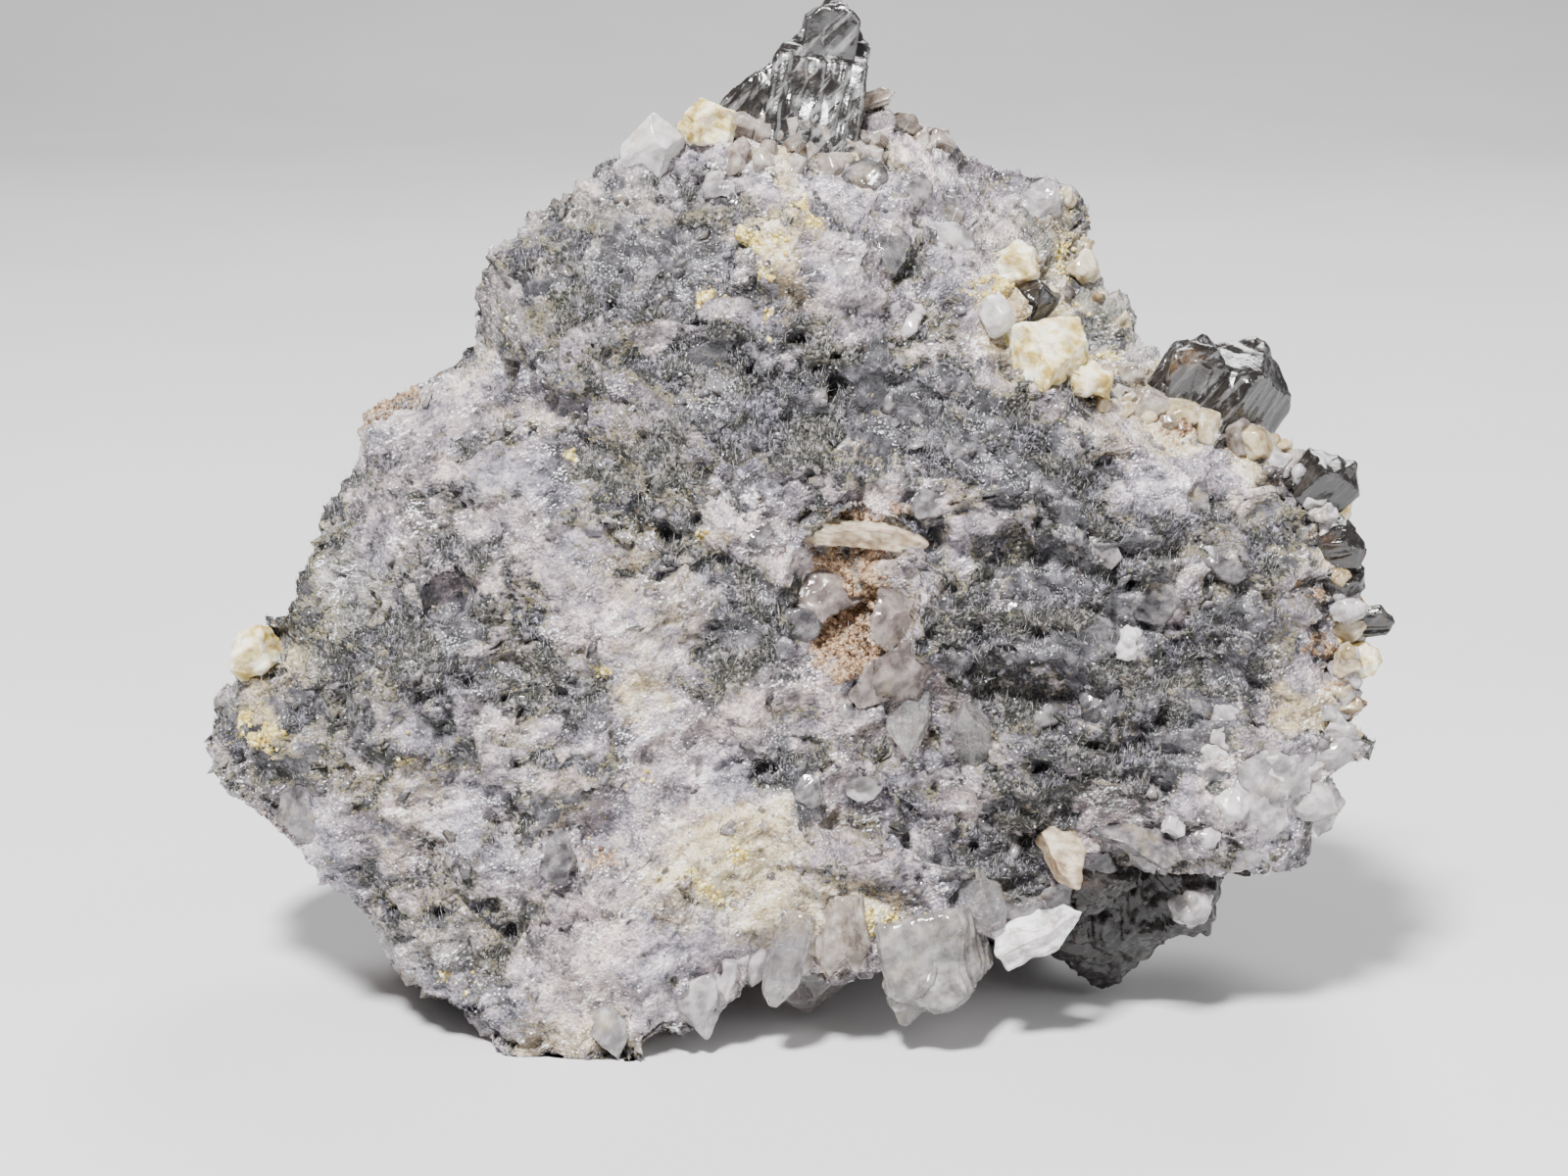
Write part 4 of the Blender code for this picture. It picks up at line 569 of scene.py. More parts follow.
class Finish:
    """A procedural material under construction: short ways to add nodes and join them."""

    def __init__(self, name, roughness, **sockets):
        self.material = bpy.data.materials.new(name)
        self.material.use_nodes = True
        self.tree = self.material.node_tree
        self.shader = self.tree.nodes["Principled BSDF"]
        self.shader.inputs["Roughness"].default_value = roughness
        for socket, value in sockets.items():
            self.shader.inputs[socket.replace("_", " ")].default_value = value
        self.place = self.tree.nodes.new("ShaderNodeTexCoord").outputs["Object"]

    def node(self, kind, inputs=None, **settings):
        """Adds a node, sets its settings, and joins or sets its inputs by name or number."""
        made = self.tree.nodes.new("ShaderNode" + kind)
        for setting, value in settings.items():
            setattr(made, setting, value)
        for socket, value in (inputs or {}).items():
            if isinstance(value, bpy.types.NodeSocket):
                self.tree.links.new(value, made.inputs[socket])
            else:
                made.inputs[socket].default_value = value
        return made

    def stretched(self, x, y, z, turn=0.0):
        """Object coordinates turned to the right by an angle, then squeezed along each axis, so that a
        pattern on them is drawn out."""
        turned = self.node("Mapping", {"Vector": self.place, "Rotation": (0, turn, 0)}).outputs[0]
        return self.node("Mapping", {"Vector": turned, "Scale": (x, y, z)}).outputs[0]

    def noise(self, size_mm, detail=3.0, place=None, roughness=0.55):
        """Cloudy noise of about this size, 0 to 1."""
        inputs = {"Vector": place or self.place, "Scale": 1 / (size_mm * MM), "Detail": detail,
                  "Roughness": roughness}
        return self.node("TexNoise", inputs).outputs[0]

    def grains(self, size_mm, place=None):
        """Grains of about this size: the distance from each one's middle, and a random colour for each."""
        made = self.node("TexVoronoi", {"Vector": place or self.place, "Scale": 1 / (size_mm * MM)})
        return made.outputs["Distance"], made.outputs["Color"]

    def share(self, name):
        """The number that the mesh holds on every point under this name."""
        return self.node("Attribute", attribute_name=name).outputs["Fac"]

    def maths(self, operation, a, b=0.0, c=0.0, clamp=False):
        """One sum on two or three numbers or sockets."""
        return self.node("Math", {0: a, 1: b, 2: c}, operation=operation, use_clamp=clamp).outputs[0]

    def times(self, a, b, clamp=False):
        """a times b."""
        return self.maths("MULTIPLY", a, b, clamp=clamp)

    def less(self, a, b):
        """a less b."""
        return self.maths("SUBTRACT", a, b)

    def over(self, value, low, slope):
        """How far the value is over low, times slope, held from 0 to 1."""
        return self.times(self.less(value, low), slope, True)

    def total(self, start, *parts):
        """The start, plus each part times its weight, as (part, weight)."""
        for part, weight in parts:
            start = self.maths("MULTIPLY_ADD", part, weight, start)
        return start

    def ramp(self, value, stops):
        """Colours by value: stops are (position, colour), where one number for a colour is a grey."""
        made = self.node("ValToRGB", {0: value})
        while len(made.color_ramp.elements) < len(stops):
            made.color_ramp.elements.new(0.5)
        for element, (position, colour) in zip(made.color_ramp.elements, stops):
            element.position = position
            element.color = (*np.broadcast_to(colour, 3), 1)
        return made.outputs[0]

    def mix(self, share, a, b, blend="MIX"):
        """Colour a turning into colour b by share."""
        made = self.node("Mix", data_type="RGBA", blend_type=blend)
        for index, value in ((0, share), (6, a), (7, b)):
            if isinstance(value, bpy.types.NodeSocket):
                self.tree.links.new(value, made.inputs[index])
            else:
                made.inputs[index].default_value = (*value, 1) if index else value
        return made.outputs[2]

    def tint(self, colour, by):
        """A colour multiplied by another."""
        return self.mix(1.0, colour, by, "MULTIPLY")

    def wear(self, colour, roughness=None, height=None, depth_mm=0.05, strength=1.0):
        """Joins the colour, the roughness and a bump of this depth to the shader, and gives the material."""
        self.tree.links.new(colour, self.shader.inputs["Base Color"])
        if roughness is not None:
            self.tree.links.new(roughness, self.shader.inputs["Roughness"])
        if height is not None:
            bump = self.node("Bump", {"Height": height, "Distance": depth_mm * MM, "Strength": strength})
            self.tree.links.new(bump.outputs[0], self.shader.inputs["Normal"])
        return self.material


def olive_or_cold(made, colour):
    """A dark mineral's colour by two noises, which are the same for every material that asks: olive-black in
    clumps of a millimetre with paler grey between, and warmer in some places than in others."""
    clump = made.ramp(made.noise(0.9, 6.0, roughness=0.62), [
        (0.42, (0.26, 0.27, 0.17)), (0.50, (0.84, 0.82, 0.76)), (0.62, (1.65, 1.58, 1.66))])
    warmth = made.ramp(made.noise(3.6, 3.0), [(0.46, (0.97, 0.95, 1.08)), (0.62, (1.07, 1.04, 0.84))])
    return made.tint(made.tint(colour, clump), warmth)


def rock_finish():
    """Quartz and tourmaline rock. Quartz runs from clear bluish grey to pinkish white by soft clouds, by the
    plate and the flake and by long feathery streaks. Olive-black felt with pale fibres covers it where the
    dark share beats a ragged noise. Moss, cream, ochre and rust stain it, and painted glints, near-white
    specks in groups, stand for small faces that catch the light."""
    made = Finish("quartz_tourmaline_rock", 0.5, Subsurface_Weight=0.4, Subsurface_Scale=0.0008, IOR=1.544)
    made.shader.inputs["Subsurface Radius"].default_value = (1.0, 0.9, 0.85)
    plate, flake, white, dark = (made.share(name) for name in ("plate", "flake", "white", "dark"))
    distance, grain = made.grains(0.2)
    chance, tone = made.node("SeparateColor", {0: grain}).outputs[:2]
    ragged = made.noise(1.2, 9.0, roughness=0.66)
    cloudy = made.noise(0.9, 6.0)
    feather = made.noise(0.5, 5.0, made.stretched(0.16, 0.6, 1.0, 0.35))
    value = made.total(-0.915, (plate, 0.20), (flake, 0.14), (made.noise(3.2, 3.0), 0.95), (cloudy, 0.80),
                       (white, 0.20), (tone, 0.20), (feather, 0.50), (dark, -0.06))
    ground = made.ramp(value, [
        (0.22, (0.037, 0.034, 0.041)), (0.37, (0.108, 0.099, 0.117)), (0.50, (0.214, 0.194, 0.222)),
        (0.62, (0.345, 0.306, 0.334)), (0.76, (0.55, 0.480, 0.500)), (0.92, (0.87, 0.775, 0.785))])
    warm = made.ramp(made.noise(5.0, 4.0), [(0.40, (0.97, 0.98, 1.02)), (0.60, (1.07, 0.99, 0.91))])
    ground = made.tint(ground, warm)
    mossy = made.ramp(value, [(0.20, (0.060, 0.062, 0.045)), (0.42, (0.155, 0.155, 0.120)),
                              (0.62, (0.31, 0.30, 0.25)), (0.85, (0.52, 0.51, 0.44))])
    cream = made.ramp(value, [(0.25, (0.18, 0.13, 0.075)), (0.50, (0.43, 0.34, 0.20)),
                              (0.70, (0.68, 0.58, 0.38)), (0.90, (0.84, 0.78, 0.62))])
    ochre = made.ramp(tone, [(0.0, (0.40, 0.28, 0.05)), (0.5, (0.68, 0.53, 0.16)), (1.0, (0.86, 0.77, 0.42))])
    brown = made.ramp(tone, [(0.0, (0.14, 0.075, 0.038)), (0.5, (0.38, 0.24, 0.14)),
                             (1.0, (0.66, 0.48, 0.31))])
    spots = made.noise(0.7, 6.0, roughness=0.65)
    ground = made.mix(made.times(made.share("green"), 0.75, True), ground, mossy)
    edge = made.total(made.less(made.share("warm"), 1.15), (spots, 1.6))
    ground = made.mix(made.times(edge, 1.6, True), ground, cream)
    speck = made.over(made.noise(0.55, 6.0, roughness=0.62), 0.55, 7.0)
    ground = made.mix(made.times(speck, made.total(0.75, (white, -0.55))), ground, (0.112, 0.107, 0.096))

    bare = made.over(plate, 0.60, 12.0)
    amount = made.total(-0.93, (dark, 1.22), (ragged, 2.0), (chance, 0.45), (flake, -0.26), (white, -0.42),
                        (bare, -0.16))
    is_dark = made.maths("MULTIPLY_ADD", made.less(amount, 0.62), 2.4, 0.5, clamp=True)
    felt = made.ramp(tone, [(0.0, (0.008, 0.008, 0.009)), (0.45, (0.026, 0.026, 0.028)),
                            (0.75, (0.066, 0.065, 0.070)), (1.0, (0.23, 0.22, 0.24))])
    streak = made.noise(0.12, 2.0, made.stretched(1.0, 1.0, 0.25))
    fibre = made.times(made.over(streak, 0.56, 7.0), 0.50)
    felt = olive_or_cold(made, made.mix(fibre, felt, (0.30, 0.29, 0.31)))
    smoky = made.ramp(cloudy, [(0.32, (0.020, 0.019, 0.023)), (0.50, (0.062, 0.059, 0.067)),
                               (0.68, (0.21, 0.198, 0.215))])
    felt = made.mix(made.times(bare, 0.85), felt, smoky)
    colour = made.mix(is_dark, ground, felt)
    # Painted shade: the holes in the felt are painted near black, darker than their depth alone makes them.
    colour = made.mix(made.times(made.share("hole"), 0.85, True), colour, (0.006, 0.006, 0.006))

    stained = made.over(made.noise(3.0, 4.0), 0.45, 10.0)
    rim = made.times(is_dark, made.less(1.0, is_dark))
    colour = made.mix(made.times(made.times(rim, 1.5), stained), colour, (0.40, 0.34, 0.17))
    for mineral, coat, least in (("yellow", ochre, 1.42), ("rust", brown, 1.15)):
        edge = made.total(made.less(made.share(mineral), least), (spots, 1.8))
        colour = made.mix(made.times(edge, 3.0, True), colour, coat)
    fleck = made.times(made.over(made.noise(0.32, 3.0), 0.67, 12.0), 0.6)
    colour = made.mix(made.times(fleck, stained), colour, ochre)
    # Painted glints: a few small drawn-out cells, in groups along the feathery streaks and kept off the dark
    # felt, are painted near white as highlights of small faces.
    glint_cells = made.grains(0.09, made.stretched(0.5, 0.7, 1.0, 0.35))[1]
    glint_pick = made.node("SeparateColor", {0: glint_cells}).outputs[2]
    seldom = made.total(2.50, (feather, -1.3), (made.noise(2.6, 3.0), -1.6))
    painted_glint = made.times(made.maths("GREATER_THAN", glint_pick, seldom), made.less(1.0, is_dark))
    colour = made.mix(painted_glint, colour, (0.94, 0.93, 0.93))

    hairy = made.times(is_dark, made.less(1.0, bare))
    rough = made.total(0.26, (hairy, 0.32), (made.maths("GREATER_THAN", tone, 0.80), -0.22))
    height = made.total(made.times(distance, -0.9), (feather, 0.7), (streak, made.times(hairy, 0.6)),
                        (ragged, 1.2))
    flatter = made.total(1.0, (made.times(bare, is_dark), -0.6))
    return made.wear(colour, rough, made.times(height, flatter), 0.16, 1.0)


def seen(piece, slot, finish, *nodes):
    """Finishes a piece: its material and the nodes whose place it takes. The slot is not used."""
    piece.data.materials.append(finish)
    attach(piece, "root")
    if nodes:
        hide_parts(*nodes)


rock_points, rock_faces = rock_form()
rock_shares = mineral_shares(rock_points)
rock_heights, plate_tones = rock_relief(rock_points, rock_shares)
rock_points = rock_points + outward(rock_points, rock_faces) * rock_heights[:, None]
rock_points[:, 2] = np.maximum(rock_points[:, 2], 0.0)
rock_points = rock_points - CENTRE
rock_normals = outward(rock_points, rock_faces)
rock = into_mesh("rock", rock_points, rock_faces, rock_shares | plate_tones, smooth=True)
seen(rock, "rock", rock_finish(), "matrix")


# Loose-looking grains on the rock: sugary quartz, felt of tourmaline needles and crumbs of iron oxide.
# They grew on the broken surface or were left on it, so each stands in the rock by about half.
OCTAHEDRON = np.array([(1, 0, 0), (0, 1, 0), (-1, 0, 0), (0, -1, 0), (0, 0, 1), (0, 0, -1)], float)
OCTAHEDRON_FACES = np.array([(0, 1, 4), (1, 2, 4), (2, 3, 4), (3, 0, 4),
                             (1, 0, 5), (2, 1, 5), (3, 2, 5), (0, 3, 5)])
SPIKE = np.array([(1, 0, 0), (-0.5, 0.866, 0), (-0.5, -0.866, 0), (0, 0, 1)])
SPIKE_FACES = np.array([(0, 1, 3), (1, 2, 3), (2, 0, 3), (0, 2, 1)])
# A splinter of quartz: an uneven five-sided rim, with a ridge of two points over it and one point below.
SHARD = np.array([(1.0, 0.1, 0.1), (0.25, 0.85, -0.2), (-0.75, 0.65, 0.2), (-0.9, -0.4, -0.1),
                  (0.3, -0.8, 0.1), (0.35, 0.05, 0.9), (-0.45, 0.1, 0.75), (0.0, 0.0, -1.0)])
SHARD_FACES = np.array([(0, 1, 5), (1, 2, 6), (1, 6, 5), (2, 3, 6), (3, 4, 6), (4, 5, 6), (4, 0, 5),
                        (1, 0, 7), (2, 1, 7), (3, 2, 7), (4, 3, 7), (0, 4, 7)])


def strewn_spots(count, weight, seed):
    """Random places on the rock, as many for each area as its weight, with the way out of the rock there."""
    rng = np.random.default_rng(seed)
    corners = rock_points[rock_faces]
    area = np.linalg.norm(np.cross(corners[:, 1] - corners[:, 0], corners[:, 2] - corners[:, 0]), axis=1)
    share = area * np.clip(weight, 0, None)[rock_faces].mean(axis=1)
    chosen = rng.choice(len(rock_faces), count, p=share / share.sum())
    spread = rng.dirichlet((1, 1, 1), count)[:, :, None]
    out = (rock_normals[rock_faces[chosen]] * spread).sum(axis=1)
    return (corners[chosen] * spread).sum(axis=1), out / np.linalg.norm(out, axis=1, keepdims=True), rng


def strewn(name, shape, shape_faces, spots, axes, sizes, rng):
    """Copies of one small shape as one mesh: its point (x, y, z) goes to the spot plus x, y and z times the
    copy's three sizes along its side, its front and its axis. Each copy has a tone from 0 to 1."""
    axes = axes / np.linalg.norm(axes, axis=1, keepdims=True)
    side = np.cross(axes, rng.normal(size=axes.shape))
    side = side / np.linalg.norm(side, axis=1, keepdims=True)
    frames = np.stack([side, np.cross(axes, side), axes], axis=1)
    points = spots[:, None] + (shape * sizes[:, None, :]) @ frames
    faces = shape_faces + len(shape) * np.arange(len(spots))[:, None, None]
    tone = np.repeat(rng.random(len(spots)), len(shape))
    return into_mesh(name, points.reshape(-1, 3), faces.reshape(-1, 3), {"tone": tone})


def grain_finish(name, roughness, stops, olive=False, **sockets):
    """A grain's material: a colour by its tone, clouded by fine noise, and glossy faces here and there."""
    made = Finish(name, roughness, **sockets)
    colour = made.ramp(made.share("tone"), stops)
    if olive:
        colour = olive_or_cold(made, colour)
    cloud = made.total(0.6, (made.noise(0.25, 3.0), 0.8))
    colour = made.tint(colour, made.node("CombineColor", {0: cloud, 1: cloud, 2: cloud}).outputs[0])
    rough = made.total(roughness - 0.2, (made.noise(0.6, 2.0), 0.4))
    return made.wear(colour, rough, made.noise(0.08, 2.0), 0.01, 0.6)


def crumbs(name, finish, count, weight, seed, least, more, rarer):
    """Octahedra that reach least to least plus more from their middle, the larger the rarer by that power,
    and tilted at random."""
    spots, out, rng = strewn_spots(count, weight, seed)
    sizes = (least + more * rng.random((count, 1)) ** rarer) * rng.uniform(*CRUMB_UNEVEN, (count, 3))
    axes = out + rng.normal(0, CRUMB_TILT, out.shape)
    seen(strewn(name, OCTAHEDRON, OCTAHEDRON_FACES, spots, axes, sizes, rng), "rock", finish)


def needles(name, finish, count, weight, seed, lie, stray, stand, sunk, thickness, length):
    """Spikes whose axis is lie, plus a stray at random, plus stand times the way out of the rock."""
    spots, out, rng = strewn_spots(count, weight, seed)
    axes = np.array(lie) + rng.normal(0, stray, out.shape) + stand * out
    sizes = np.column_stack([rng.uniform(*thickness, (count, 2)), rng.uniform(*length, count)])
    seen(strewn(name, SPIKE, SPIKE_FACES, spots - sunk * out, axes, sizes, rng), "rock", finish)


SUGAR_COUNT = 18000
# How far the grains reach from their middle: the least, and how much more the largest do.
SUGAR_SIZE = (0.035, 0.10)
SUGAR_TILT = 0.6
CRUMB_UNEVEN = (0.6, 1.5)
CRUMB_TILT = 0.8
sugar_finish = grain_finish("sugar_quartz", 0.16, [
    (0.0, (0.14, 0.14, 0.15)), (0.40, (0.30, 0.29, 0.30)), (0.75, (0.48, 0.45, 0.46)),
    (1.0, (0.80, 0.78, 0.78))], IOR=1.544, Subsurface_Weight=0.2, Subsurface_Scale=0.0004)
needle_finish = grain_finish("tourmaline_needles", 0.4, [
    (0.0, (0.008, 0.008, 0.009)), (0.50, (0.026, 0.026, 0.027)), (0.72, (0.066, 0.066, 0.066)),
    (0.88, (0.15, 0.147, 0.155)), (1.0, (0.47, 0.455, 0.49))], olive=True, IOR=1.64)
fibre_finish = grain_finish("pale_fibres", 0.35, [
    (0.0, (0.20, 0.195, 0.21)), (0.6, (0.42, 0.405, 0.42)), (1.0, (0.74, 0.71, 0.70))], IOR=1.6)
rust_finish = grain_finish("iron_oxide_crumbs", 0.75, [
    (0.0, (0.07, 0.036, 0.019)), (0.40, (0.19, 0.108, 0.059)), (0.8, (0.37, 0.225, 0.130)),
    (1.0, (0.58, 0.42, 0.27))])
ochre_finish = grain_finish("yellow_crust", 0.65, [
    (0.0, (0.38, 0.26, 0.05)), (0.4, (0.68, 0.52, 0.14)), (0.8, (0.82, 0.72, 0.34)),
    (1.0, (0.88, 0.83, 0.60))])

on_face = smooth_step(-rock_normals[:, 1], -0.2, 0.5)
off_floor = smooth_step(rock_points[:, 2], 0.8, 1.4)
sugared = (0.12 + rock_shares["white"]) * (0.45 + on_face) * off_floor
spots, out, rng = strewn_spots(SUGAR_COUNT, sugared, seed=501)
sizes = SUGAR_SIZE[0] + SUGAR_SIZE[1] * rng.random((SUGAR_COUNT, 1)) ** 3 * rng.uniform(
    *CRUMB_UNEVEN, (SUGAR_COUNT, 3))
axes = out + rng.normal(0, SUGAR_TILT, out.shape)
seen(strewn("quartz_sugar", OCTAHEDRON, OCTAHEDRON_FACES, spots, axes, sizes, rng), "quartz", sugar_finish)
glassy = smooth_step(plate_tones["plate"], *GLASSY_FROM)
overgrown = off_floor * (1 - 0.8 * glassy) * (1 - 0.7 * plate_tones["hole"])
felted = (rock_shares["dark"] ** 1.5 + 0.3 * rock_shares["green"] + 0.02) * (0.3 + on_face) * overgrown
needles("tourmaline_felt", needle_finish, 48000, felted, seed=503, lie=(0.12, 0.2, 0.9),
        stray=0.5, stand=0.4, sunk=0.08, thickness=(0.016, 0.036), length=(0.2, 0.5))
needles("pale_fibres", fibre_finish, 9000, rock_shares["dark"] ** 2 * on_face * overgrown, seed=508,
        lie=(0.10, -0.1, 0.9), stray=0.28, stand=0.25, sunk=0.05, thickness=(0.012, 0.024),
        length=(0.35, 1.0))
crumbs("rust_crumbs", rust_finish, 12000, rock_shares["rust"] ** 2 * off_floor, seed=504,
       least=0.032, more=0.15, rarer=5)
crumbs("yellow_crumbs", ochre_finish, 8000, rock_shares["yellow"] ** 3 * off_floor, seed=505,
       least=0.04, more=0.16, rarer=3)


# The cassiterite crystals: short four-sided prisms with pyramid ends, black and glossy, grown together in
# groups. They sit in the top and the right side of the rock and over its back.
GOLDEN_ANGLE = math.pi * (3 - math.sqrt(5))
GOLDEN_SHARE = 0.618
# How far a face turns to the crystal's axis before its skin counts as the end and not as a side.
END_FROM = (0.35, 0.6)


def heading(axis):
    """The room direction of a layout direction (right, up, back)."""
    right, up, back = axis
    return Vector((right, up * math.sin(LEAN) + back * math.cos(LEAN),
                   up * math.cos(LEAN) - back * math.sin(LEAN))).normalized()


def prism(across, length, sides, slope, uneven, phase):
    """A crystal's faces, directions and distances about its middle, +Z along it: a flat foot, the sides of
    a prism and a pyramid at the free end. Each face stands a little in or out."""
    ways, reach = [(0, 0, -1)], [length / 2]
    lean = math.radians(slope)
    for k in range(sides):
        turn = 2 * math.pi * k / sides
        half = math.hypot(across[0] * math.cos(turn), across[1] * math.sin(turn)) / 2
        ways.append((math.cos(turn), math.sin(turn), 0))
        reach.append(half * (1 + uneven * math.sin(2.4 * k + phase)))
        ways.append((math.cos(turn) * math.sin(lean), math.sin(turn) * math.sin(lean), math.cos(lean)))
        reach.append(length / 2 * (1 - 1.5 * uneven * (1 + math.sin(1.7 * k + phase))) * math.cos(lean))
    return np.array(ways), np.array(reach)


def lump(across, length, count, uneven, phase):
    """A blunt grain's faces: directions spread evenly in a spiral, at the distances of an egg's sides."""
    k = np.arange(count)
    height = 1 - (2 * k + 1) / count
    turn = GOLDEN_ANGLE * k + phase
    level = np.sqrt(1 - height**2)
    ways = np.column_stack([level * np.cos(turn), level * np.sin(turn), height])
    half = np.linalg.norm(ways * [*across, length], axis=1) / 2
    return ways, half * (1 + uneven * np.sin(3.1 * k + phase))


def ball_grid(cells):
    """The grid on a cube's six sides, its lines drawn evenly by tan, as points and triangles: a closed skin
    with no pole."""
    line = np.tan(np.linspace(-1, 1, cells + 1) * math.pi / 4)
    lattice = np.stack(np.meshgrid(line, line, line, indexing="ij"), axis=-1)
    index = np.arange(cells + 1)
    ends = (index == 0) | (index == cells)
    skin = ends[:, None, None] | ends[:, None] | ends
    number = np.cumsum(skin).reshape(skin.shape) - 1
    sides = [number[-1], number[0].T, number[:, -1].T, number[:, 0], number[:, :, -1], number[:, :, 0].T]
    quads = np.concatenate([np.stack([s[:-1, :-1], s[1:, :-1], s[1:, 1:], s[:-1, 1:]], axis=-1).reshape(-1, 4)
                            for s in sides])
    return lattice[skin], np.concatenate([quads[:, [0, 1, 2]], quads[:, [0, 2, 3]]])


def grown(faces, spacing, growth, salt):
    """A crystal about its middle. In the direction e its skin is at r = (sum over its faces of
    (e.n / h) ** sharpness) ** (-1 / sharpness), which is its planes n.x = h with slightly worn edges. Then
    growth moves the skin along its normals: steps are the height and size of stairs, along the crystal on
    its sides and across it on its end, lines of fine noise drawn out the same way, and grain of noise, of
    which the ends get only a share."""
    sharpness, steps, lines, grain = growth
    ways, reach = faces
    extent = np.array([reach[np.abs(ways[:, k]) > 0.3].max() for k in range(3)])
    grid, triangle = ball_grid(int(2 * extent.max() / spacing) + 4)
    e = grid * extent
    e = e / np.linalg.norm(e, axis=1, keepdims=True)
    near = np.clip(e @ ways.T, 1e-6, None) / reach
    peak = near.max(axis=1, keepdims=True)
    r = 1 / (peak[:, 0] * ((near / peak) ** sharpness).sum(axis=1) ** (1 / sharpness))
    points = e * r[:, None]
    normal = outward(points, triangle)
    end = smooth_step(abs(normal[:, 2]), *END_FROM)
    bend = 0.9 * soft_noise(points * [1, 1, 0.35], 2.0 * steps[1], salt)
    bend = bend + 0.3 * soft_noise(points, steps[1], salt + 1)
    side_way = normal[:, 0] * points[:, 1] - normal[:, 1] * points[:, 0]
    rise = (side_way * (1 - end) + points[:, 2] * end) / steps[1] + bend
    along = soft_noise(points * [1, 1, 0.12], lines[1], salt + 2)
    across = soft_noise(points * [0.3, 0.3, 1.0], lines[1], salt + 3)
    shift = steps[0] * stair(rise) + lines[0] * ((1 - end) * along + end * across)
    coarse = layered(points, ((1.0, grain[1], salt + 4), (0.3, 0.4 * grain[1], salt + 5)))
    shift = shift + grain[0] * coarse * (1 - end * (1 - grain[2]))
    return points + normal * shift[:, None], triangle


def set_in(points, spot, axis, roll):
    """A crystal's points at its place: its +Z along the axis, rolled about it, and its middle at the spot."""
    turn = heading(axis).to_track_quat("Z", "Y").to_matrix() @ Matrix.Rotation(math.radians(roll), 3, "Z")
    return points @ np.array(turn).T + world(*spot) - CENTRE


def joined(parts):
    """Several (points, triangles) as one."""
    starts = np.cumsum([0] + [len(points) for points, _ in parts[:-1]])
    return (np.concatenate([points for points, _ in parts]),
            np.concatenate([triangle + start for (_, triangle), start in zip(parts, starts)]))


def crystals(name, finish, slot, members, spacing, growth, salt, *nodes):
    """One piece made of crystals that have grown together, each as (faces, spot, axis, roll), in place of the
    nodes. Each has a tone of its own from 0 to 1, a golden section on from the last."""
    parts, tones = [], []
    for k, (faces, spot, axis, roll) in enumerate(members):
        points, triangle = grown(faces, spacing, growth, salt + 10 * k)
        parts.append((set_in(points, spot, axis, roll), triangle))
        tones.append(np.full(len(points), (0.4 + GOLDEN_SHARE * k) % 1))
    points, triangle = joined(parts)
    seen(into_mesh(name, points, triangle, {"tone": np.concatenate(tones)}, True), slot, finish, *nodes)


# The small crystals of a cluster: the first one's share of the size and how much less each next one has, how
# far out and down its foot is, its lean and its turn.
CLUSTER_SHARE = (0.68, 0.07)
CLUSTER_FOOT = (0.5, 0.16)
CLUSTER_LEAN = 0.55
CLUSTER_TURN = 35


def cluster(across, length, spot, axis, roll, count, phase):
    """A crystal and the smaller ones round its foot, which lean away from it."""
    way = Vector(axis).normalized()
    side = way.cross(Vector((0, 1, 0))).normalized()
    members = [(prism(across, length, 4, 44.0, 0.08, phase), spot, axis, roll)]
    for k in range(count):
        turn = GOLDEN_ANGLE * k + phase
        away = math.cos(turn) * side + math.sin(turn) * way.cross(side)
        share = CLUSTER_SHARE[0] - CLUSTER_SHARE[1] * k
        foot = Vector(spot) + CLUSTER_FOOT[0] * across[0] * away - CLUSTER_FOOT[1] * length * way
        faces = prism((share * across[0], share * across[1]), share * length, 4, 41.0, 0.10, phase + k)
        members.append((faces, tuple(foot), tuple(way + CLUSTER_LEAN * away), roll + CLUSTER_TURN * k))
    return members


def cassiterite_finish(name, highlight_share, line_size, gloss, dull, IOR):
    """Near-black crystal with a strong gloss, amber-brown where it is thin, grey dust in its pits, and pale
    grey stripes along it that are painted highlights of its striations, up to the share given for them."""
    made = Finish(name, gloss, IOR=IOR)
    body = made.ramp(made.noise(2.2, 4.0), [
        (0.0, (0.005, 0.004, 0.004)), (0.62, (0.010, 0.008, 0.007)), (0.70, (0.030, 0.016, 0.008)),
        (0.80, (0.10, 0.055, 0.020))])
    dusty = made.over(made.noise(0.35, 6.0, roughness=0.7), 0.70, 9.0)
    colour = made.mix(dusty, body, (0.30, 0.29, 0.27))
    # Painted highlights: pale grey stripes drawn along the crystal, where light would catch its striations.
    line = made.noise(line_size, 5.0, made.stretched(1.0, 1.0, 0.12, -0.8), 0.6)
    highlight_striped = made.times(made.over(line, 0.52, 9.0), highlight_share)
    colour = made.mix(highlight_striped, colour, (0.30, 0.29, 0.29))
    rough = made.ramp(made.noise(0.7, 5.0), [(0.40, gloss), (0.72, dull)])
    return made.wear(colour, rough, made.total(made.noise(0.22, 5.0), (line, 0.7)), 0.04, 0.8)


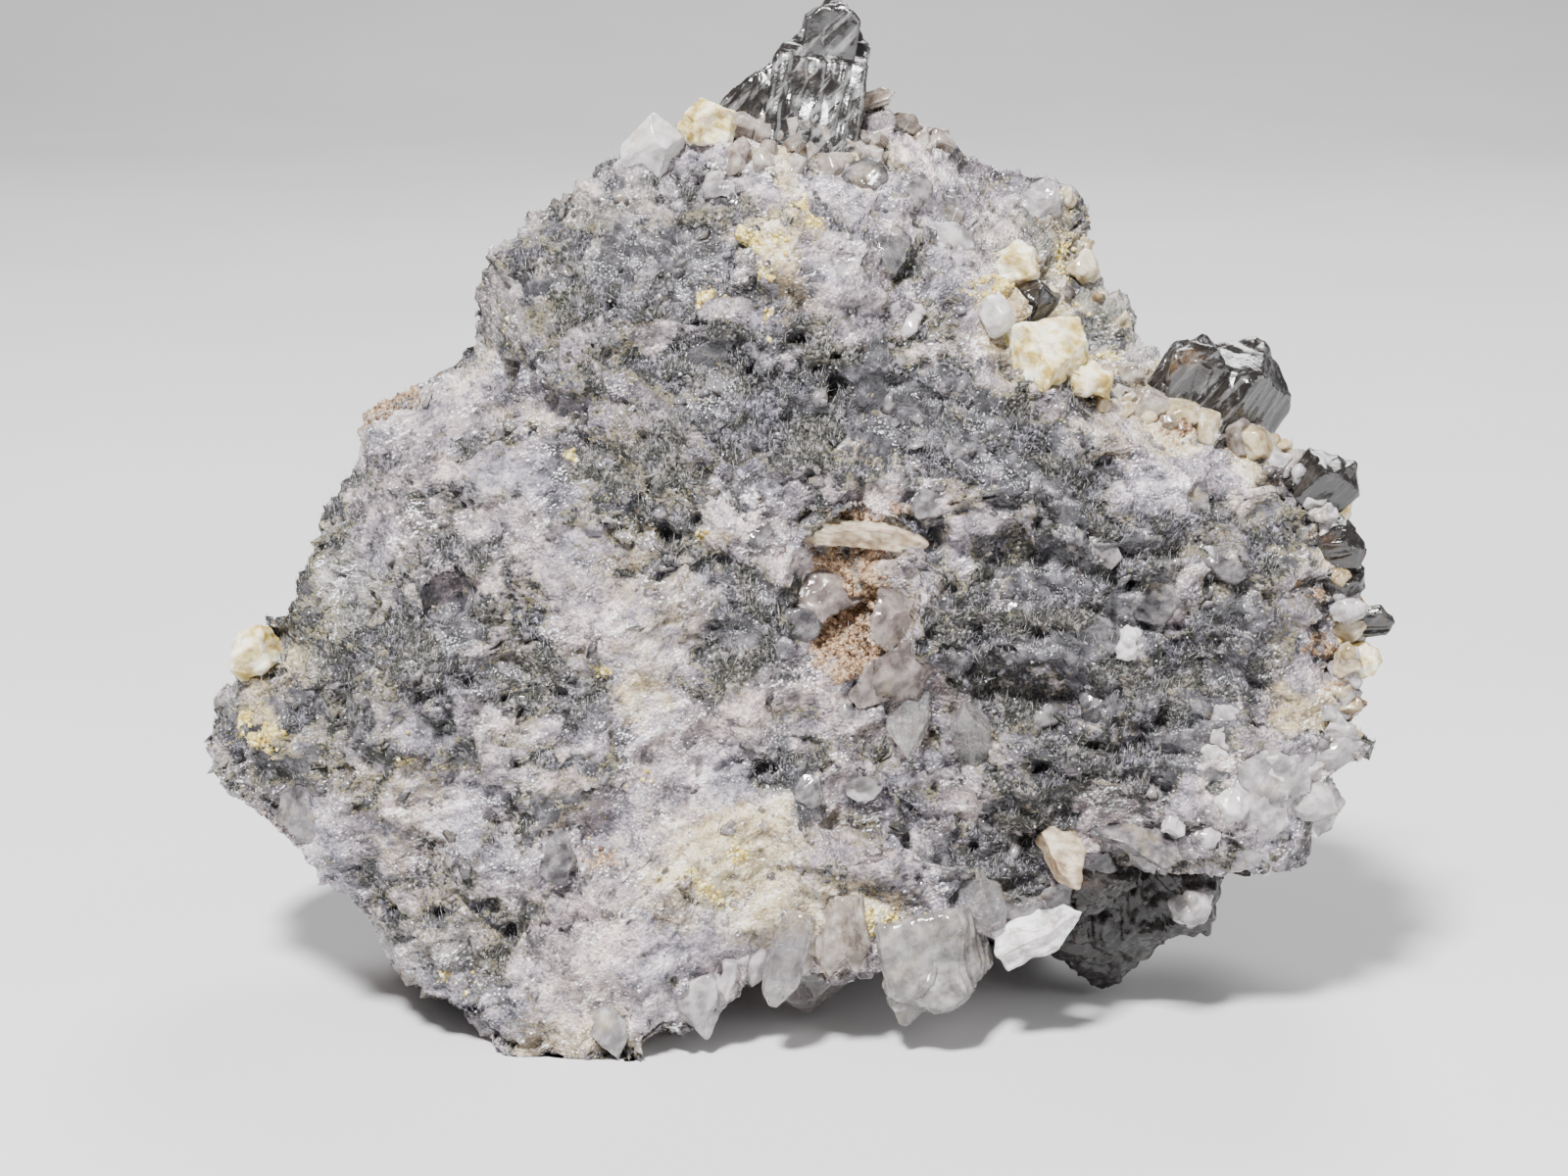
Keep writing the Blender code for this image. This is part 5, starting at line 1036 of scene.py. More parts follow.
CASSITERITE_FRONT = {
    "cassiterite_top": [
        (prism((5.6, 5.4), 11.6, 4, 54.0, 0.10, 0.4), (2.1, 29.2, 8.5), (0.14, 0.95, 0.05), 28),
        (prism((4.6, 4.4), 8.4, 4, 60.0, 0.12, 2.0), (-0.2, 28.0, 8.0), (0.42, 0.86, -0.10), 50),
        (prism((2.8, 3.0), 5.0, 4, 38.0, 0.10, 1.0), (2.5, 31.8, 7.0), (0.12, 0.95, -0.25), 10)],
    "cassiterite_right": [
        (prism((6.2, 5.8), 8.8, 4, 44.0, 0.08, 0.9), (25.2, 11.4, 8.8), (0.50, 0.82, -0.05), 35),
        (prism((4.2, 4.4), 6.0, 4, 40.0, 0.10, 2.2), (23.8, 12.3, 8.0), (0.20, 0.93, -0.30), 15)],
    "cassiterite_edge_upper": [
        (prism((3.0, 2.6), 4.2, 4, 42.0, 0.10, 0.2), (31.1, 6.3, 5.0), (0.70, 0.60, -0.30), 30)],
    "cassiterite_edge_middle": [
        (prism((2.8, 2.6), 4.6, 4, 45.0, 0.12, 1.1), (31.8, 2.3, 5.2), (0.93, 0.10, -0.35), 20),
        (prism((2.4, 2.4), 3.8, 4, 40.0, 0.10, 2.7), (31.9, 0.2, 5.4), (0.90, -0.30, -0.30), 20)],
    "cassiterite_edge_lower": [
        (prism((1.3, 1.4), 3.6, 4, 45.0, 0.08, 0.5), (33.4, -1.85, 5.5), (0.95, 0.05, -0.1), 10)],
    "cassiterite_lower_right": [
        (prism((7.2, 6.6), 10.0, 4, 46.0, 0.08, 0.3), (18.4, -19.1, 11.0), (0.05, -0.86, 0.10), 30),
        (prism((5.4, 5.0), 8.0, 4, 42.0, 0.10, 1.6), (22.4, -17.2, 9.0), (0.55, -0.70, -0.10), 10),
        (prism((4.4, 4.2), 6.0, 4, 44.0, 0.10, 2.9), (17.4, -16.8, 6.0), (-0.20, -0.70, -0.62), 50)],
    "cassiterite_seam": [
        (prism((1.9, 1.7), 2.8, 4, 42.0, 0.10, 0.7), (14.4, 16.6, 6.9), (0.25, 0.55, -0.80), 25)],
}
CASSITERITE_BACK = {
    "cassiterite_back_middle":
        cluster((8.6, 7.8), 11.0, (0.6, 2.6, 24.9), (0.12, 0.22, 0.96), 20, 3, 0.8),
    "cassiterite_back_upper_left":
        cluster((6.6, 5.8), 8.6, (-8.8, 13.4, 22.2), (-0.35, 0.30, 0.88), 5, 2, 1.4),
    "cassiterite_back_upper_right":
        cluster((6.2, 5.8), 8.6, (8.8, 14.4, 23.0), (0.30, 0.38, 0.86), 40, 2, 2.6),
    "cassiterite_back_left":
        cluster((7.0, 6.4), 9.0, (-17.0, 0.2, 24.0), (-0.45, 0.05, 0.88), 25, 2, 0.1),
    "cassiterite_back_right":
        cluster((7.4, 6.6), 9.0, (17.4, 1.6, 23.4), (0.45, 0.18, 0.86), 12, 2, 1.9),
    "cassiterite_back_lower_left":
        cluster((6.2, 6.8), 8.6, (-8.0, -10.0, 26.4), (-0.15, -0.12, 0.96), 55, 2, 2.4),
    "cassiterite_back_lower_right":
        cluster((5.8, 5.2), 8.0, (10.4, -9.4, 25.6), (0.35, -0.15, 0.90), 30, 2, 0.6),
}
# Sharpness of the edges, then height and size of the stairs, the lines and the grain.
BLACK_GROWTH = (44, (0.12, 1.0), (0.10, 0.34), (0.24, 2.0, 1.0))
BACK_GROWTH = (56, (0.06, 0.8), (0.05, 0.34), (0.16, 2.4, 1.0))
BROKEN_GROWTH = (44, (0.18, 0.7), (0.12, 0.3), (0.26, 0.8, 1.0))
BLACK_SPACING = 0.2
BACK_SPACING = 0.36
# The painted highlight stripes are strongest on the top crystal and add to the silvery look of the right one.
black_gloss = cassiterite_finish("cassiterite", 0.10, 0.28, 0.08, 0.28, 1.8)
highlight_striped = cassiterite_finish("cassiterite_painted_highlights", 0.70, 0.55, 0.16, 0.40, 2.0)
silvery = cassiterite_finish("cassiterite_silvery", 0.28, 0.40, 0.10, 0.32, 1.85)
sooty = cassiterite_finish("cassiterite_sooty", 0.12, 0.25, 0.16, 0.46, 1.5)
kinds = {"cassiterite_top": (highlight_striped, BLACK_GROWTH), "cassiterite_right": (silvery, BLACK_GROWTH),
         "cassiterite_lower_right": (sooty, BROKEN_GROWTH)}
for salt, (node, members) in enumerate(CASSITERITE_FRONT.items()):
    finish, growth = kinds.get(node, (black_gloss, BLACK_GROWTH))
    crystals(node + "_crystal", finish, "cassiterite", members, BLACK_SPACING, growth,
             600 + 50 * salt, node)
for salt, (node, members) in enumerate(CASSITERITE_BACK.items()):
    crystals(node + "_crystal", black_gloss, "cassiterite", members, BACK_SPACING, BACK_GROWTH,
             1000 + 50 * salt, node)


# The quartz points: six-sided and see-through. Some sit in sockets of the rock, most are fused to it, and
# small ones hang from its lower edge and crowd on its right edge.
def quartz_finish(name, transmission, dim, middle, bright):
    """Quartz from a dim to a bright tone by milky veils, fine cracks and the crystal's own tone, stained here
    and there, with glossy faces and a little absorption."""
    made = Finish(name, 0.08, IOR=1.544, Transmission_Weight=transmission)
    crack = made.noise(0.5, 3.0, made.stretched(0.3, 1.0, 1.0, 0.6))
    value = made.total(made.noise(1.1, 7.0, roughness=0.6), (made.less(crack, 0.5), 0.4),
                       (made.less(made.share("tone"), 0.45), 0.14))
    colour = made.ramp(value, [(0.34, dim), (0.49, middle), (0.64, bright)])
    stain = made.times(made.over(made.noise(1.6, 5.0), 0.55, 5.0), 0.5)
    colour = made.mix(stain, colour, (0.74, 0.60, 0.36))
    rough = made.ramp(made.noise(0.6, 4.0), [(0.42, 0.04), (0.66, 0.34)])
    absorbing = made.node("VolumeAbsorption", {"Color": (0.86, 0.85, 0.84, 1), "Density": 60.0})
    made.tree.links.new(absorbing.outputs[0], made.tree.nodes["Material Output"].inputs["Volume"])
    return made.wear(colour, rough, made.total(made.noise(0.3, 3.0), (crack, 1.5)), 0.03, 0.6)


QUARTZ_SEATED = {
    "quartz_point_hanging": [
        (prism((2.2, 2.0), 6.4, 6, 60.0, 0.08, 0.4), (0.0, -21.6, 1.6), (-0.22, -0.96, -0.06), 10)],
    "quartz_point_fan": [
        (prism((1.9, 1.9), 5.4, 6, 55.0, 0.10, 1.4), (3.0, -20.3, 1.9), (-0.12, -0.98, -0.10), 0),
        (prism((1.9, 2.0), 5.0, 6, 55.0, 0.10, 2.4), (3.8, -20.1, 2.1), (0.14, -0.98, -0.05), 20)],
    "quartz_plate_lower": [
        (prism((6.8, 3.2), 6.4, 6, 24.0, 0.10, 0.9), (8.7, -21.6, 3.6), (0.16, -0.98, 0.05), 8),
        (prism((3.6, 2.8), 4.6, 6, 50.0, 0.10, 2.0), (7.2, -23.2, 3.0), (-0.10, -0.98, -0.10), 30)],
    "quartz_block_shadow": [
        (prism((5.0, 4.4), 6.0, 6, 40.0, 0.10, 0.5), (1.6, -22.1, 8.6), (0.10, -0.95, 0.10), 15)],
    "quartz_point_middle": [
        (prism((2.4, 1.8), 4.4, 6, 58.0, 0.08, 1.2), (7.1, -8.2, 0.9), (0.02, -0.93, -0.34), 12)],
    "quartz_point_bright": [
        (prism((2.2, 2.0), 4.8, 6, 58.0, 0.08, 2.6), (10.5, -8.0, 0.8), (-0.18, 0.72, -0.62), 18)],
    "quartz_lump_top": [(lump((3.6, 2.6), 3.0, 11, 0.12, 3.5), (-7.6, 25.1, 5.5), (-0.2, 0.5, -0.8), 30)],
    "quartz_bead_shoulder": [(lump((1.8, 2.4), 2.0, 16, 0.06, 0.9), (12.1, 15.6, 3.6), (0.1, 0.2, -0.95), 0)],
}
# The points that are fused to the rock: spot, axis, width and length. The first FUSED_IN_FRONT are milky
# and make one piece, and the clear ones make another.
QUARTZ_FUSED = [
    ((-4.6, -24.2, 3.0), (0.20, -0.95, -0.10), 3.0, 4.0),
    ((-9.8, -25.2, 3.0), (0.25, -0.90, -0.20), 2.6, 5.0),
    ((30.2, -12.2, 4.6), (0.80, -0.45, -0.20), 2.6, 4.6),
    ((31.6, -9.2, 4.6), (0.92, 0.05, -0.20), 2.6, 4.6),
    ((26.9, -14.9, 4.8), (0.40, -0.90, -0.10), 2.6, 4.6),
    ((24.0, -14.6, 4.6), (0.10, -0.98, -0.10), 2.4, 4.6),
    ((20.6, -14.8, 3.8), (0.30, -0.80, -0.50), 2.6, 4.6),
    ((14.6, 22.0, 15.0), (0.40, 0.80, -0.30), 3.0, 4.6),
    ((-1.6, -21.0, 3.2), (-0.10, -0.97, -0.10), 2.4, 4.4),
    ((11.6, -18.4, 3.4), (0.30, -0.90, -0.20), 2.6, 4.6),
    ((-2.8, 9.8, 22.6), (-0.30, 0.30, 0.90), 3.4, 7.0), ((14.4, 8.6, 20.8), (0.40, 0.20, 0.88), 3.4, 7.0),
    ((-10.4, 4.8, 22.8), (-0.25, 0.10, 0.95), 3.6, 7.0),
    ((-14.8, -8.4, 24.4), (-0.40, -0.20, 0.88), 3.6, 7.0),
    ((2.2, -7.2, 25.4), (0.10, -0.20, 0.96), 3.4, 7.0), ((17.4, -7.6, 23.6), (0.55, -0.20, 0.78), 3.4, 7.0),
    ((-0.6, 17.4, 20.4), (-0.05, 0.50, 0.84), 3.0, 6.4), ((9.0, 5.6, 23.4), (0.25, 0.30, 0.90), 2.8, 6.4),
    ((-20.6, 5.6, 18.6), (-0.60, 0.20, 0.76), 3.0, 6.4),
    ((1.8, -14.2, 24.6), (0.05, -0.45, 0.88), 3.0, 6.4),
]
FUSED_IN_FRONT = 9
CLEAR_GROWTH = (60, (0.05, 1.3), (0.04, 0.3), (0.16, 1.6, 1.0))
SHATTERED_GROWTH = (40, (0.16, 1.5), (0.06, 0.3), (0.50, 2.2, 1.0))
PLATE_GROWTH = (50, (0.06, 1.1), (0.05, 0.3), (0.50, 1.5, 0.3))
SHEET_GROWTH = (90, (0.10, 1.6), (0.05, 0.3), (0.34, 1.2, 0.6))
ROUGH_GROWTH = (40, (0.10, 0.9), (0.05, 0.3), (0.22, 0.8, 1.0))
TOOTH_GROWTH = (40, (0.09, 0.9), (0.05, 0.3), (0.28, 1.0, 0.7))
# How much light passes, then the dim, the middle and the bright tone.
QUARTZ_TONES = {
    "clear": (0.90, (0.60, 0.57, 0.57), (0.86, 0.83, 0.83), (0.99, 0.97, 0.97)),
    "milky": (0.45, (0.26, 0.24, 0.25), (0.52, 0.48, 0.49), (0.84, 0.78, 0.78)),
    "smoky": (0.6, (0.075, 0.071, 0.076), (0.21, 0.195, 0.205), (0.52, 0.475, 0.48)),
    "tan": (0.55, (0.20, 0.155, 0.125), (0.46, 0.39, 0.34), (0.80, 0.73, 0.68)),
    "white": (0.35, (0.50, 0.47, 0.46), (0.76, 0.72, 0.71), (0.93, 0.90, 0.89)),
    "rose": (0.5, (0.135, 0.106, 0.097), (0.30, 0.243, 0.226), (0.55, 0.46, 0.43)),
    "cloudy": (0.6, (0.21, 0.195, 0.19), (0.41, 0.385, 0.375), (0.74, 0.70, 0.68)),
    "cream": (0.3, (0.24, 0.16, 0.07), (0.50, 0.40, 0.24), (0.78, 0.70, 0.54)),
}
quartz = {tone: quartz_finish(tone + "_quartz", *tones) for tone, tones in QUARTZ_TONES.items()}
SEATED_TONES = {"quartz_plate_lower": "cloudy", "quartz_point_fan": "tan", "quartz_lump_top": "white",
                "quartz_bead_shoulder": "white"}
for salt, (node, members) in enumerate(QUARTZ_SEATED.items()):
    growth = SHATTERED_GROWTH if node == "quartz_plate_lower" else CLEAR_GROWTH
    crystals(node + "_crystal", quartz[SEATED_TONES.get(node, "clear")], "quartz", members, 0.19, growth,
             1500 + 30 * salt, node)

# Plates on the face: u, w and how far out, axis, widths, thickness and roll. Then white lumps, the same way.
QUARTZ_PLATES = [
    ((0.6, -2.4, 0.3), (-0.1, -0.2, -0.9), (2.6, 2.0), 1.0, 10),
    ((21.4, -0.6, 0.0), (0.1, 0.2, -0.9), (3.0, 2.6), 1.0, 35),
    ((20.2, -14.0, 0.5), (0.10, 0.70, -0.70), (5.4, 2.4), 1.0, 160),
    ((-1.7, 3.4, 0.0), (0.2, 0.3, -0.90), (2.6, 1.5), 0.7, 20),
    ((7.3, 23.0, 0.2), (0.25, 0.55, -0.80), (2.2, 2.6), 1.4, 30),
    ((9.5, 21.8, 0.1), (0.35, 0.40, -0.85), (2.4, 1.9), 1.2, 70),
    ((4.6, 23.6, 0.1), (0.0, 0.5, -0.8), (2.0, 1.7), 1.2, 35),
    ((15.4, -6.2, 0.0), (-0.1, 0.4, -0.9), (4.2, 2.0), 0.9, 5),
    ((11.6, 0.8, 0.0), (0.2, 0.1, -0.9), (2.8, 3.0), 1.0, 75),
    ((14.8, 6.4, -0.1), (0.0, 0.3, -0.9), (2.2, 2.4), 0.9, 50),
    ((25.2, 2.2, -0.1), (0.2, 0.3, -0.9), (3.0, 2.6), 0.9, 15),
    ((13.2, -1.0, -0.1), (0.0, 0.3, -0.9), (2.4, 2.2), 0.9, 60),
    ((13.4, -18.6, 0.2), (0.1, -0.5, -0.8), (3.2, 2.0), 1.5, 10),
    ((15.2, -17.6, 0.2), (0.1, -0.4, -0.8), (2.8, 1.8), 1.4, 40),
    ((17.6, -16.0, 0.3), (0.2, -0.5, -0.8), (3.6, 1.6), 1.4, 20),
    ((4.4, -6.4, 0.0), (0.0, 0.3, -0.9), (2.6, 1.8), 0.9, 30),
    ((8.4, 5.4, 0.0), (0.1, 0.4, -0.9), (2.8, 1.4), 0.9, 60),
    ((17.8, 2.6, -0.1), (0.1, 0.2, -0.9), (2.4, 3.2), 0.8, 25),
    ((23.4, 5.0, -0.1), (0.1, 0.3, -0.9), (2.2, 2.6), 0.8, 0),
    ((18.2, -6.6, -0.1), (-0.1, 0.2, -0.9), (3.0, 2.2), 0.9, 50),
    ((5.6, 9.6, -0.1), (0.1, 0.3, -0.9), (2.4, 1.8), 0.8, 20),
    ((-4.4, 11.4, -0.1), (0.0, 0.3, -0.9), (2.6, 1.6), 0.8, 10),
    ((2.0, 7.4, -0.1), (0.1, 0.2, -0.9), (1.8, 2.2), 0.8, 70),
    ((10.2, 8.2, -0.1), (0.1, 0.3, -0.9), (2.0, 1.6), 0.8, 30),
    ((-13.6, -15.4, 0.0), (-0.1, 0.2, -0.9), (2.6, 3.0), 0.9, 40),
    ((1.2, -10.8, 0.0), (0.0, 0.3, -0.9), (2.2, 2.8), 0.9, 10),
    ((6.0, 19.4, 0.0), (0.1, 0.3, -0.9), (3.0, 2.2), 1.0, 45),
    ((-2.6, 22.6, 0.0), (-0.1, 0.3, -0.9), (2.8, 3.0), 1.0, 15),
    ((-27.6, -13.0, 0.1), (-0.2, 0.1, -0.9), (2.4, 3.2), 1.0, 30),
]
# Cloudy plates that lean over the right side of the pocket.
POCKET_PLATES = [
    ((6.8, -1.2, 0.8), (0.42, 0.24, -0.86), (4.0, 5.0), 1.0, 8),
    ((7.4, -4.6, 0.6), (0.36, -0.14, -0.90), (4.4, 3.8), 1.1, 40),
    ((5.0, -5.8, 0.4), (0.10, -0.20, -0.95), (3.2, 2.0), 0.8, 70),
    ((2.2, 0.5, 0.8), (0.10, 0.40, -0.85), (5.6, 3.2), 0.9, 10),
]
# Cloudy plates of the crust on the right, and of the quartz under the top crystal.
CRUST_PLATES = [
    ((25.6, -7.4, 0.1), (0.2, 0.3, -0.90), (2.6, 3.8), 1.0, 20),
    ((28.9, -10.0, 0.1), (0.3, 0.1, -0.90), (5.8, 4.8), 1.2, 60),
    ((26.6, -12.8, 0.1), (0.1, -0.2, -0.90), (5.2, 3.6), 1.1, 10),
    ((30.2, -12.8, 0.4), (0.4, -0.2, -0.85), (4.4, 3.8), 1.0, 100),
    ((23.4, -13.9, 0.1), (0.0, 0.0, -0.95), (3.6, 1.8), 0.9, 160),
    ((6.2, 22.6, 0.0), (0.2, 0.4, -0.85), (3.2, 2.4), 1.0, 40),
    ((9.2, 19.8, 0.0), (0.3, 0.3, -0.90), (2.6, 3.0), 1.0, 75),
    ((3.2, 18.8, -0.1), (0.0, 0.4, -0.90), (2.4, 2.8), 0.9, 15),
    ((-3.4, 23.4, 0.0), (-0.2, 0.4, -0.90), (3.0, 2.4), 1.0, 120),
    ((6.8, 15.6, -0.1), (0.1, 0.3, -0.90), (2.8, 2.0), 0.9, 30),
]
WHITE_LUMPS = [
    ((25.5, -12.3, -0.1), (0.1, 0.2, -0.95), (1.9, 2.2), 1.2, 0),
    ((24.6, -9.6, -0.2), (0.2, 0.2, -0.90), (1.2, 1.6), 0.9, 40),
    ((28.2, -10.2, -0.2), (0.3, 0.2, -0.90), (1.7, 2.4), 1.1, 80),
    ((4.5, -11.2, 0.1), (-0.1, 0.3, -0.90), (2.6, 2.0), 1.6, 10),
    ((19.6, -3.1, -0.1), (0.05, 0.30, -0.95), (2.2, 1.2), 0.9, 70),
    ((22.4, -13.4, -0.1), (0.1, 0.3, -0.95), (1.8, 1.3), 1.0, 60),
]


def on_rock(u, w, out):
    """The layout spot this far out of the rock's face at u, w, read from the nearest point of the face."""
    at_u, at_w, at_d = layout(rock_points + CENTRE)
    nearest = np.argmin((at_u - u) ** 2 + (at_w - w) ** 2 + 100 * (rock_normals[:, 1] > -0.2))
    return u, w, at_d[nearest] - out


# The small points along the rim: width, thickness as a share of it, length, slope of the end in degrees,
# and the share of the length that is sunk. Then a blunt one's share of that width, and how deep it is sunk.
TOOTH_WIDTH = (1.2, 2.3)
TOOTH_THICKNESS = (0.5, 0.9)
TOOTH_LENGTH = (2.4, 3.8)
TOOTH_SLOPE = (45, 66)
TOOTH_SUNK = 0.38
BLUNT_WIDTH = 0.7
BLUNT_SUNK = 0.8


def edge_teeth(count, first, last, seed, blunt=False):
    """Small quartz points along the rim between two shares of its length, or lumps if blunt: each points
    outwards, leans a little to one side, and is half sunk in the rock."""
    rng = np.random.default_rng(seed)
    teeth = []
    for share in np.linspace(first, last, count) + rng.uniform(-0.003, 0.003, count):
        u, w, d = rim_at(share % 1)
        away = np.array([u - HEART[0], w - HEART[1]])
        away = away / np.linalg.norm(away)
        width, length = rng.uniform(*TOOTH_WIDTH), rng.uniform(*TOOTH_LENGTH)
        sunk = TOOTH_SUNK * length
        spot = (u - sunk * away[0], w - sunk * away[1], d + rng.uniform(-0.2, 1.5))
        lean = rng.uniform(-0.35, 0.35, 3)
        across = (width, rng.uniform(*TOOTH_THICKNESS) * width)
        faces = prism(across, length, 6, rng.uniform(*TOOTH_SLOPE), 0.16, 6 * rng.random())
        if blunt:
            width = BLUNT_WIDTH * width
            faces = lump((width, rng.uniform(0.6, 0.9) * width), 1.2 * width, 11, 0.18, 6 * rng.random())
            spot = (u - BLUNT_SUNK * away[0], w - BLUNT_SUNK * away[1], d + rng.uniform(-1.0, 1.6))
        teeth.append((faces, spot, (away[0] + lean[0], away[1] + lean[1], lean[2]), 360 * rng.random()))
    return teeth


def sheets(places, slope, uneven, sunk=0.0):
    """Five-sided plates on the face, each as (spot, axis, widths, thickness, roll)."""
    return [(prism(widths, thickness, 5, slope, uneven, 1.7 * k), on_rock(u, w, out - sunk), axis, roll)
            for k, ((u, w, out), axis, widths, thickness, roll) in enumerate(places)]


fused = [(prism((across, 0.85 * across), length, 6, 56.0, 0.08, 1.3 * k), spot, axis, 25.0 * k)
         for k, (spot, axis, across, length) in enumerate(QUARTZ_FUSED)]
crystals("quartz_points_front", quartz["milky"], "quartz", fused[:FUSED_IN_FRONT], 0.26, CLEAR_GROWTH, 2000)
crystals("quartz_points_back", quartz["clear"], "quartz", fused[FUSED_IN_FRONT:], 0.42, CLEAR_GROWTH, 2100)
teeth = edge_teeth(16, 0.727, 0.79, seed=511) + edge_teeth(20, 0.86, 0.975, seed=512)
teeth.append((lump((2.6, 2.2), 2.2, 15, 0.08, 0.4), (23.2, -18.2, 6.2), (0.1, 0.3, -0.9), 0))
crystals("quartz_teeth", quartz["milky"], "quartz", teeth, 0.32, TOOTH_GROWTH, 3700)
pale_edge = edge_teeth(30, -0.03, 0.09, seed=513, blunt=True)
crystals("edge_grains", quartz["milky"], "quartz", pale_edge, 0.19, ROUGH_GROWTH, 4100)
cream_edge = edge_teeth(26, -0.04, 0.16, seed=514, blunt=True)
crystals("edge_grains_cream", quartz["cream"], "quartz", cream_edge, 0.19, ROUGH_GROWTH, 4500)
plates = sheets(QUARTZ_PLATES, slope=14.0, uneven=0.22, sunk=0.12)
crystals("quartz_plates", quartz["smoky"], "quartz", plates, 0.25, PLATE_GROWTH, 4900)
plates = sheets(POCKET_PLATES, slope=20.0, uneven=0.30)
crystals("pocket_plates", quartz["rose"], "quartz", plates, 0.22, SHEET_GROWTH, 6400)
plates = sheets(CRUST_PLATES, slope=20.0, uneven=0.30)
crystals("crust_plates", quartz["milky"], "quartz", plates, 0.22, SHEET_GROWTH, 7300)


# The grains of a seam: least width, height, and how far out of the rock their middle is.
GRAIN_WIDTH = 0.7
GRAIN_HEIGHT = (0.7, 1.2)
GRAIN_SUNK = (-0.6, 0.0)


def seam_grains(count, first, last, off, largest, seed):
    """Blunt grains of GRAIN_WIDTH to largest across, sunk in the rock along the straight line from first to
    last on the face, and up to off away from it."""
    rng = np.random.default_rng(seed)
    made = []
    for u, w in np.linspace(first, last, count) + rng.uniform(-off, off, (count, 2)):
        width = GRAIN_WIDTH + (largest - GRAIN_WIDTH) * rng.random() ** 1.5
        across = (width, rng.uniform(0.5, 0.9) * width)
        faces = lump(across, rng.uniform(*GRAIN_HEIGHT), 10, 0.2, 6 * rng.random())
        lean = rng.uniform(-0.4, 0.4, 2)
        spot = on_rock(u, w, rng.uniform(*GRAIN_SUNK))
        made.append((faces, spot, (lean[0], 0.2 + lean[1], -0.8), 360 * rng.random()))
    return made


foot = seam_grains(40, (-3.2, 25.6), (8.4, 24.9), off=1.5, largest=2.3, seed=515)
foot.append((prism((1.5, 1.1), 4.2, 6, 52.0, 0.12, 0.6), (5.2, 27.9, 8.0), (0.90, 0.28, -0.15), 20))
foot += [(prism((2.3, 1.7), 2.0, 5, 34.0, 0.25, 1.1 * u), (u, w, 6.0), (0.2, 0.5, -0.8), 50 * u)
         for u, w in ((-2.2, 26.8), (-0.7, 26.4), (0.9, 26.8), (2.6, 26.3))]
seam = seam_grains(34, (16.0, 12.8), (28.4, 7.8), off=0.9, largest=2.2, seed=516)
cream_seam = seam_grains(16, (17.6, 11.0), (28.6, 8.0), off=0.6, largest=1.6, seed=517)
for grains, places in ((seam, ((21.4, 10.6), (26.0, 9.0))),
                       (cream_seam, ((22.9, 10.2), (24.5, 9.6), (27.3, 8.4)))):
    grains += [(prism((2.9, 1.8), 2.2, 5, 34.0, 0.25, 1.3 * u), (u, w, 5.6), (0.3, 0.4, -0.85), 60 * u)
               for u, w in places]
crystals("foot_grains", quartz["tan"], "quartz", foot, 0.22, CLEAR_GROWTH, 5400)
crystals("seam_grains", quartz["tan"], "quartz", seam, 0.22, CLEAR_GROWTH, 6500)
crystals("seam_grains_cream", quartz["cream"], "quartz", cream_seam, 0.2, CLEAR_GROWTH, 6900)
lumps = [(lump(widths, thickness, 14, 0.16, 1.7 * k), on_rock(*spot), axis, roll)
         for k, (spot, axis, widths, thickness, roll) in enumerate(WHITE_LUMPS)]
crystals("white_lumps", quartz["white"], "quartz", lumps, 0.16, ROUGH_GROWTH, 2500)

# Splinters: the size of the smallest and how much more the largest has, width and thickness as shares of it.
CHIP_SIZE = (0.15, 0.5)
CHIP_WIDTH = (0.6, 1.3)
CHIP_THICKNESS = (0.2, 0.4)
CHIP_TILT = 0.35
CHIP_SUNK = 0.07
for name, tone, count, seed in (("quartz_chips", "clear", 900, 506), ("smoky_chips", "smoky", 1800, 507)):
    spots, out, rng = strewn_spots(count, (0.3 + rock_shares["dark"]) * on_face * off_floor, seed)
    sizes = (CHIP_SIZE[0] + CHIP_SIZE[1] * rng.random((count, 1)) ** 2) * np.column_stack(
        [rng.uniform(*CHIP_WIDTH, (count, 2)), rng.uniform(*CHIP_THICKNESS, count)])
    axes = out + rng.normal(0, CHIP_TILT, out.shape)
    made = strewn(name, SHARD, SHARD_FACES, spots - CHIP_SUNK * out, axes, sizes, rng)
    seen(made, "quartz", quartz[tone])


# The feldspar: cream and yellow blades and lumps, waxy and full of small pits. They grew in the seams of the
# rock and across its pocket, and sit in sockets of it.
def feldspar_finish(name, deep, middle, pale):
    """Feldspar of three tones in clouds, with ochre in its pits and along fine cleavage lines."""
    made = Finish(name, 0.45, Subsurface_Weight=0.3, Subsurface_Scale=0.0008)
    cleavage = made.noise(0.4, 4.0, made.stretched(0.25, 1.0, 1.0, -0.4))
    cloud = made.total(made.noise(1.3, 8.0, roughness=0.6), (made.less(cleavage, 0.5), 0.5))
    body = made.ramp(cloud, [(0.36, deep), (0.48, middle), (0.60, pale)])
    pits = made.over(made.noise(0.55, 7.0, roughness=0.7), 0.54, 5.0)
    colour = made.mix(pits, body, (0.30, 0.25, 0.15))
    rough = made.ramp(made.noise(0.6, 3.0), [(0.35, 0.25), (0.65, 0.55)])
    return made.wear(colour, rough, made.total(made.noise(0.15, 5.0), (cleavage, 1.5)), 0.06, 0.9)


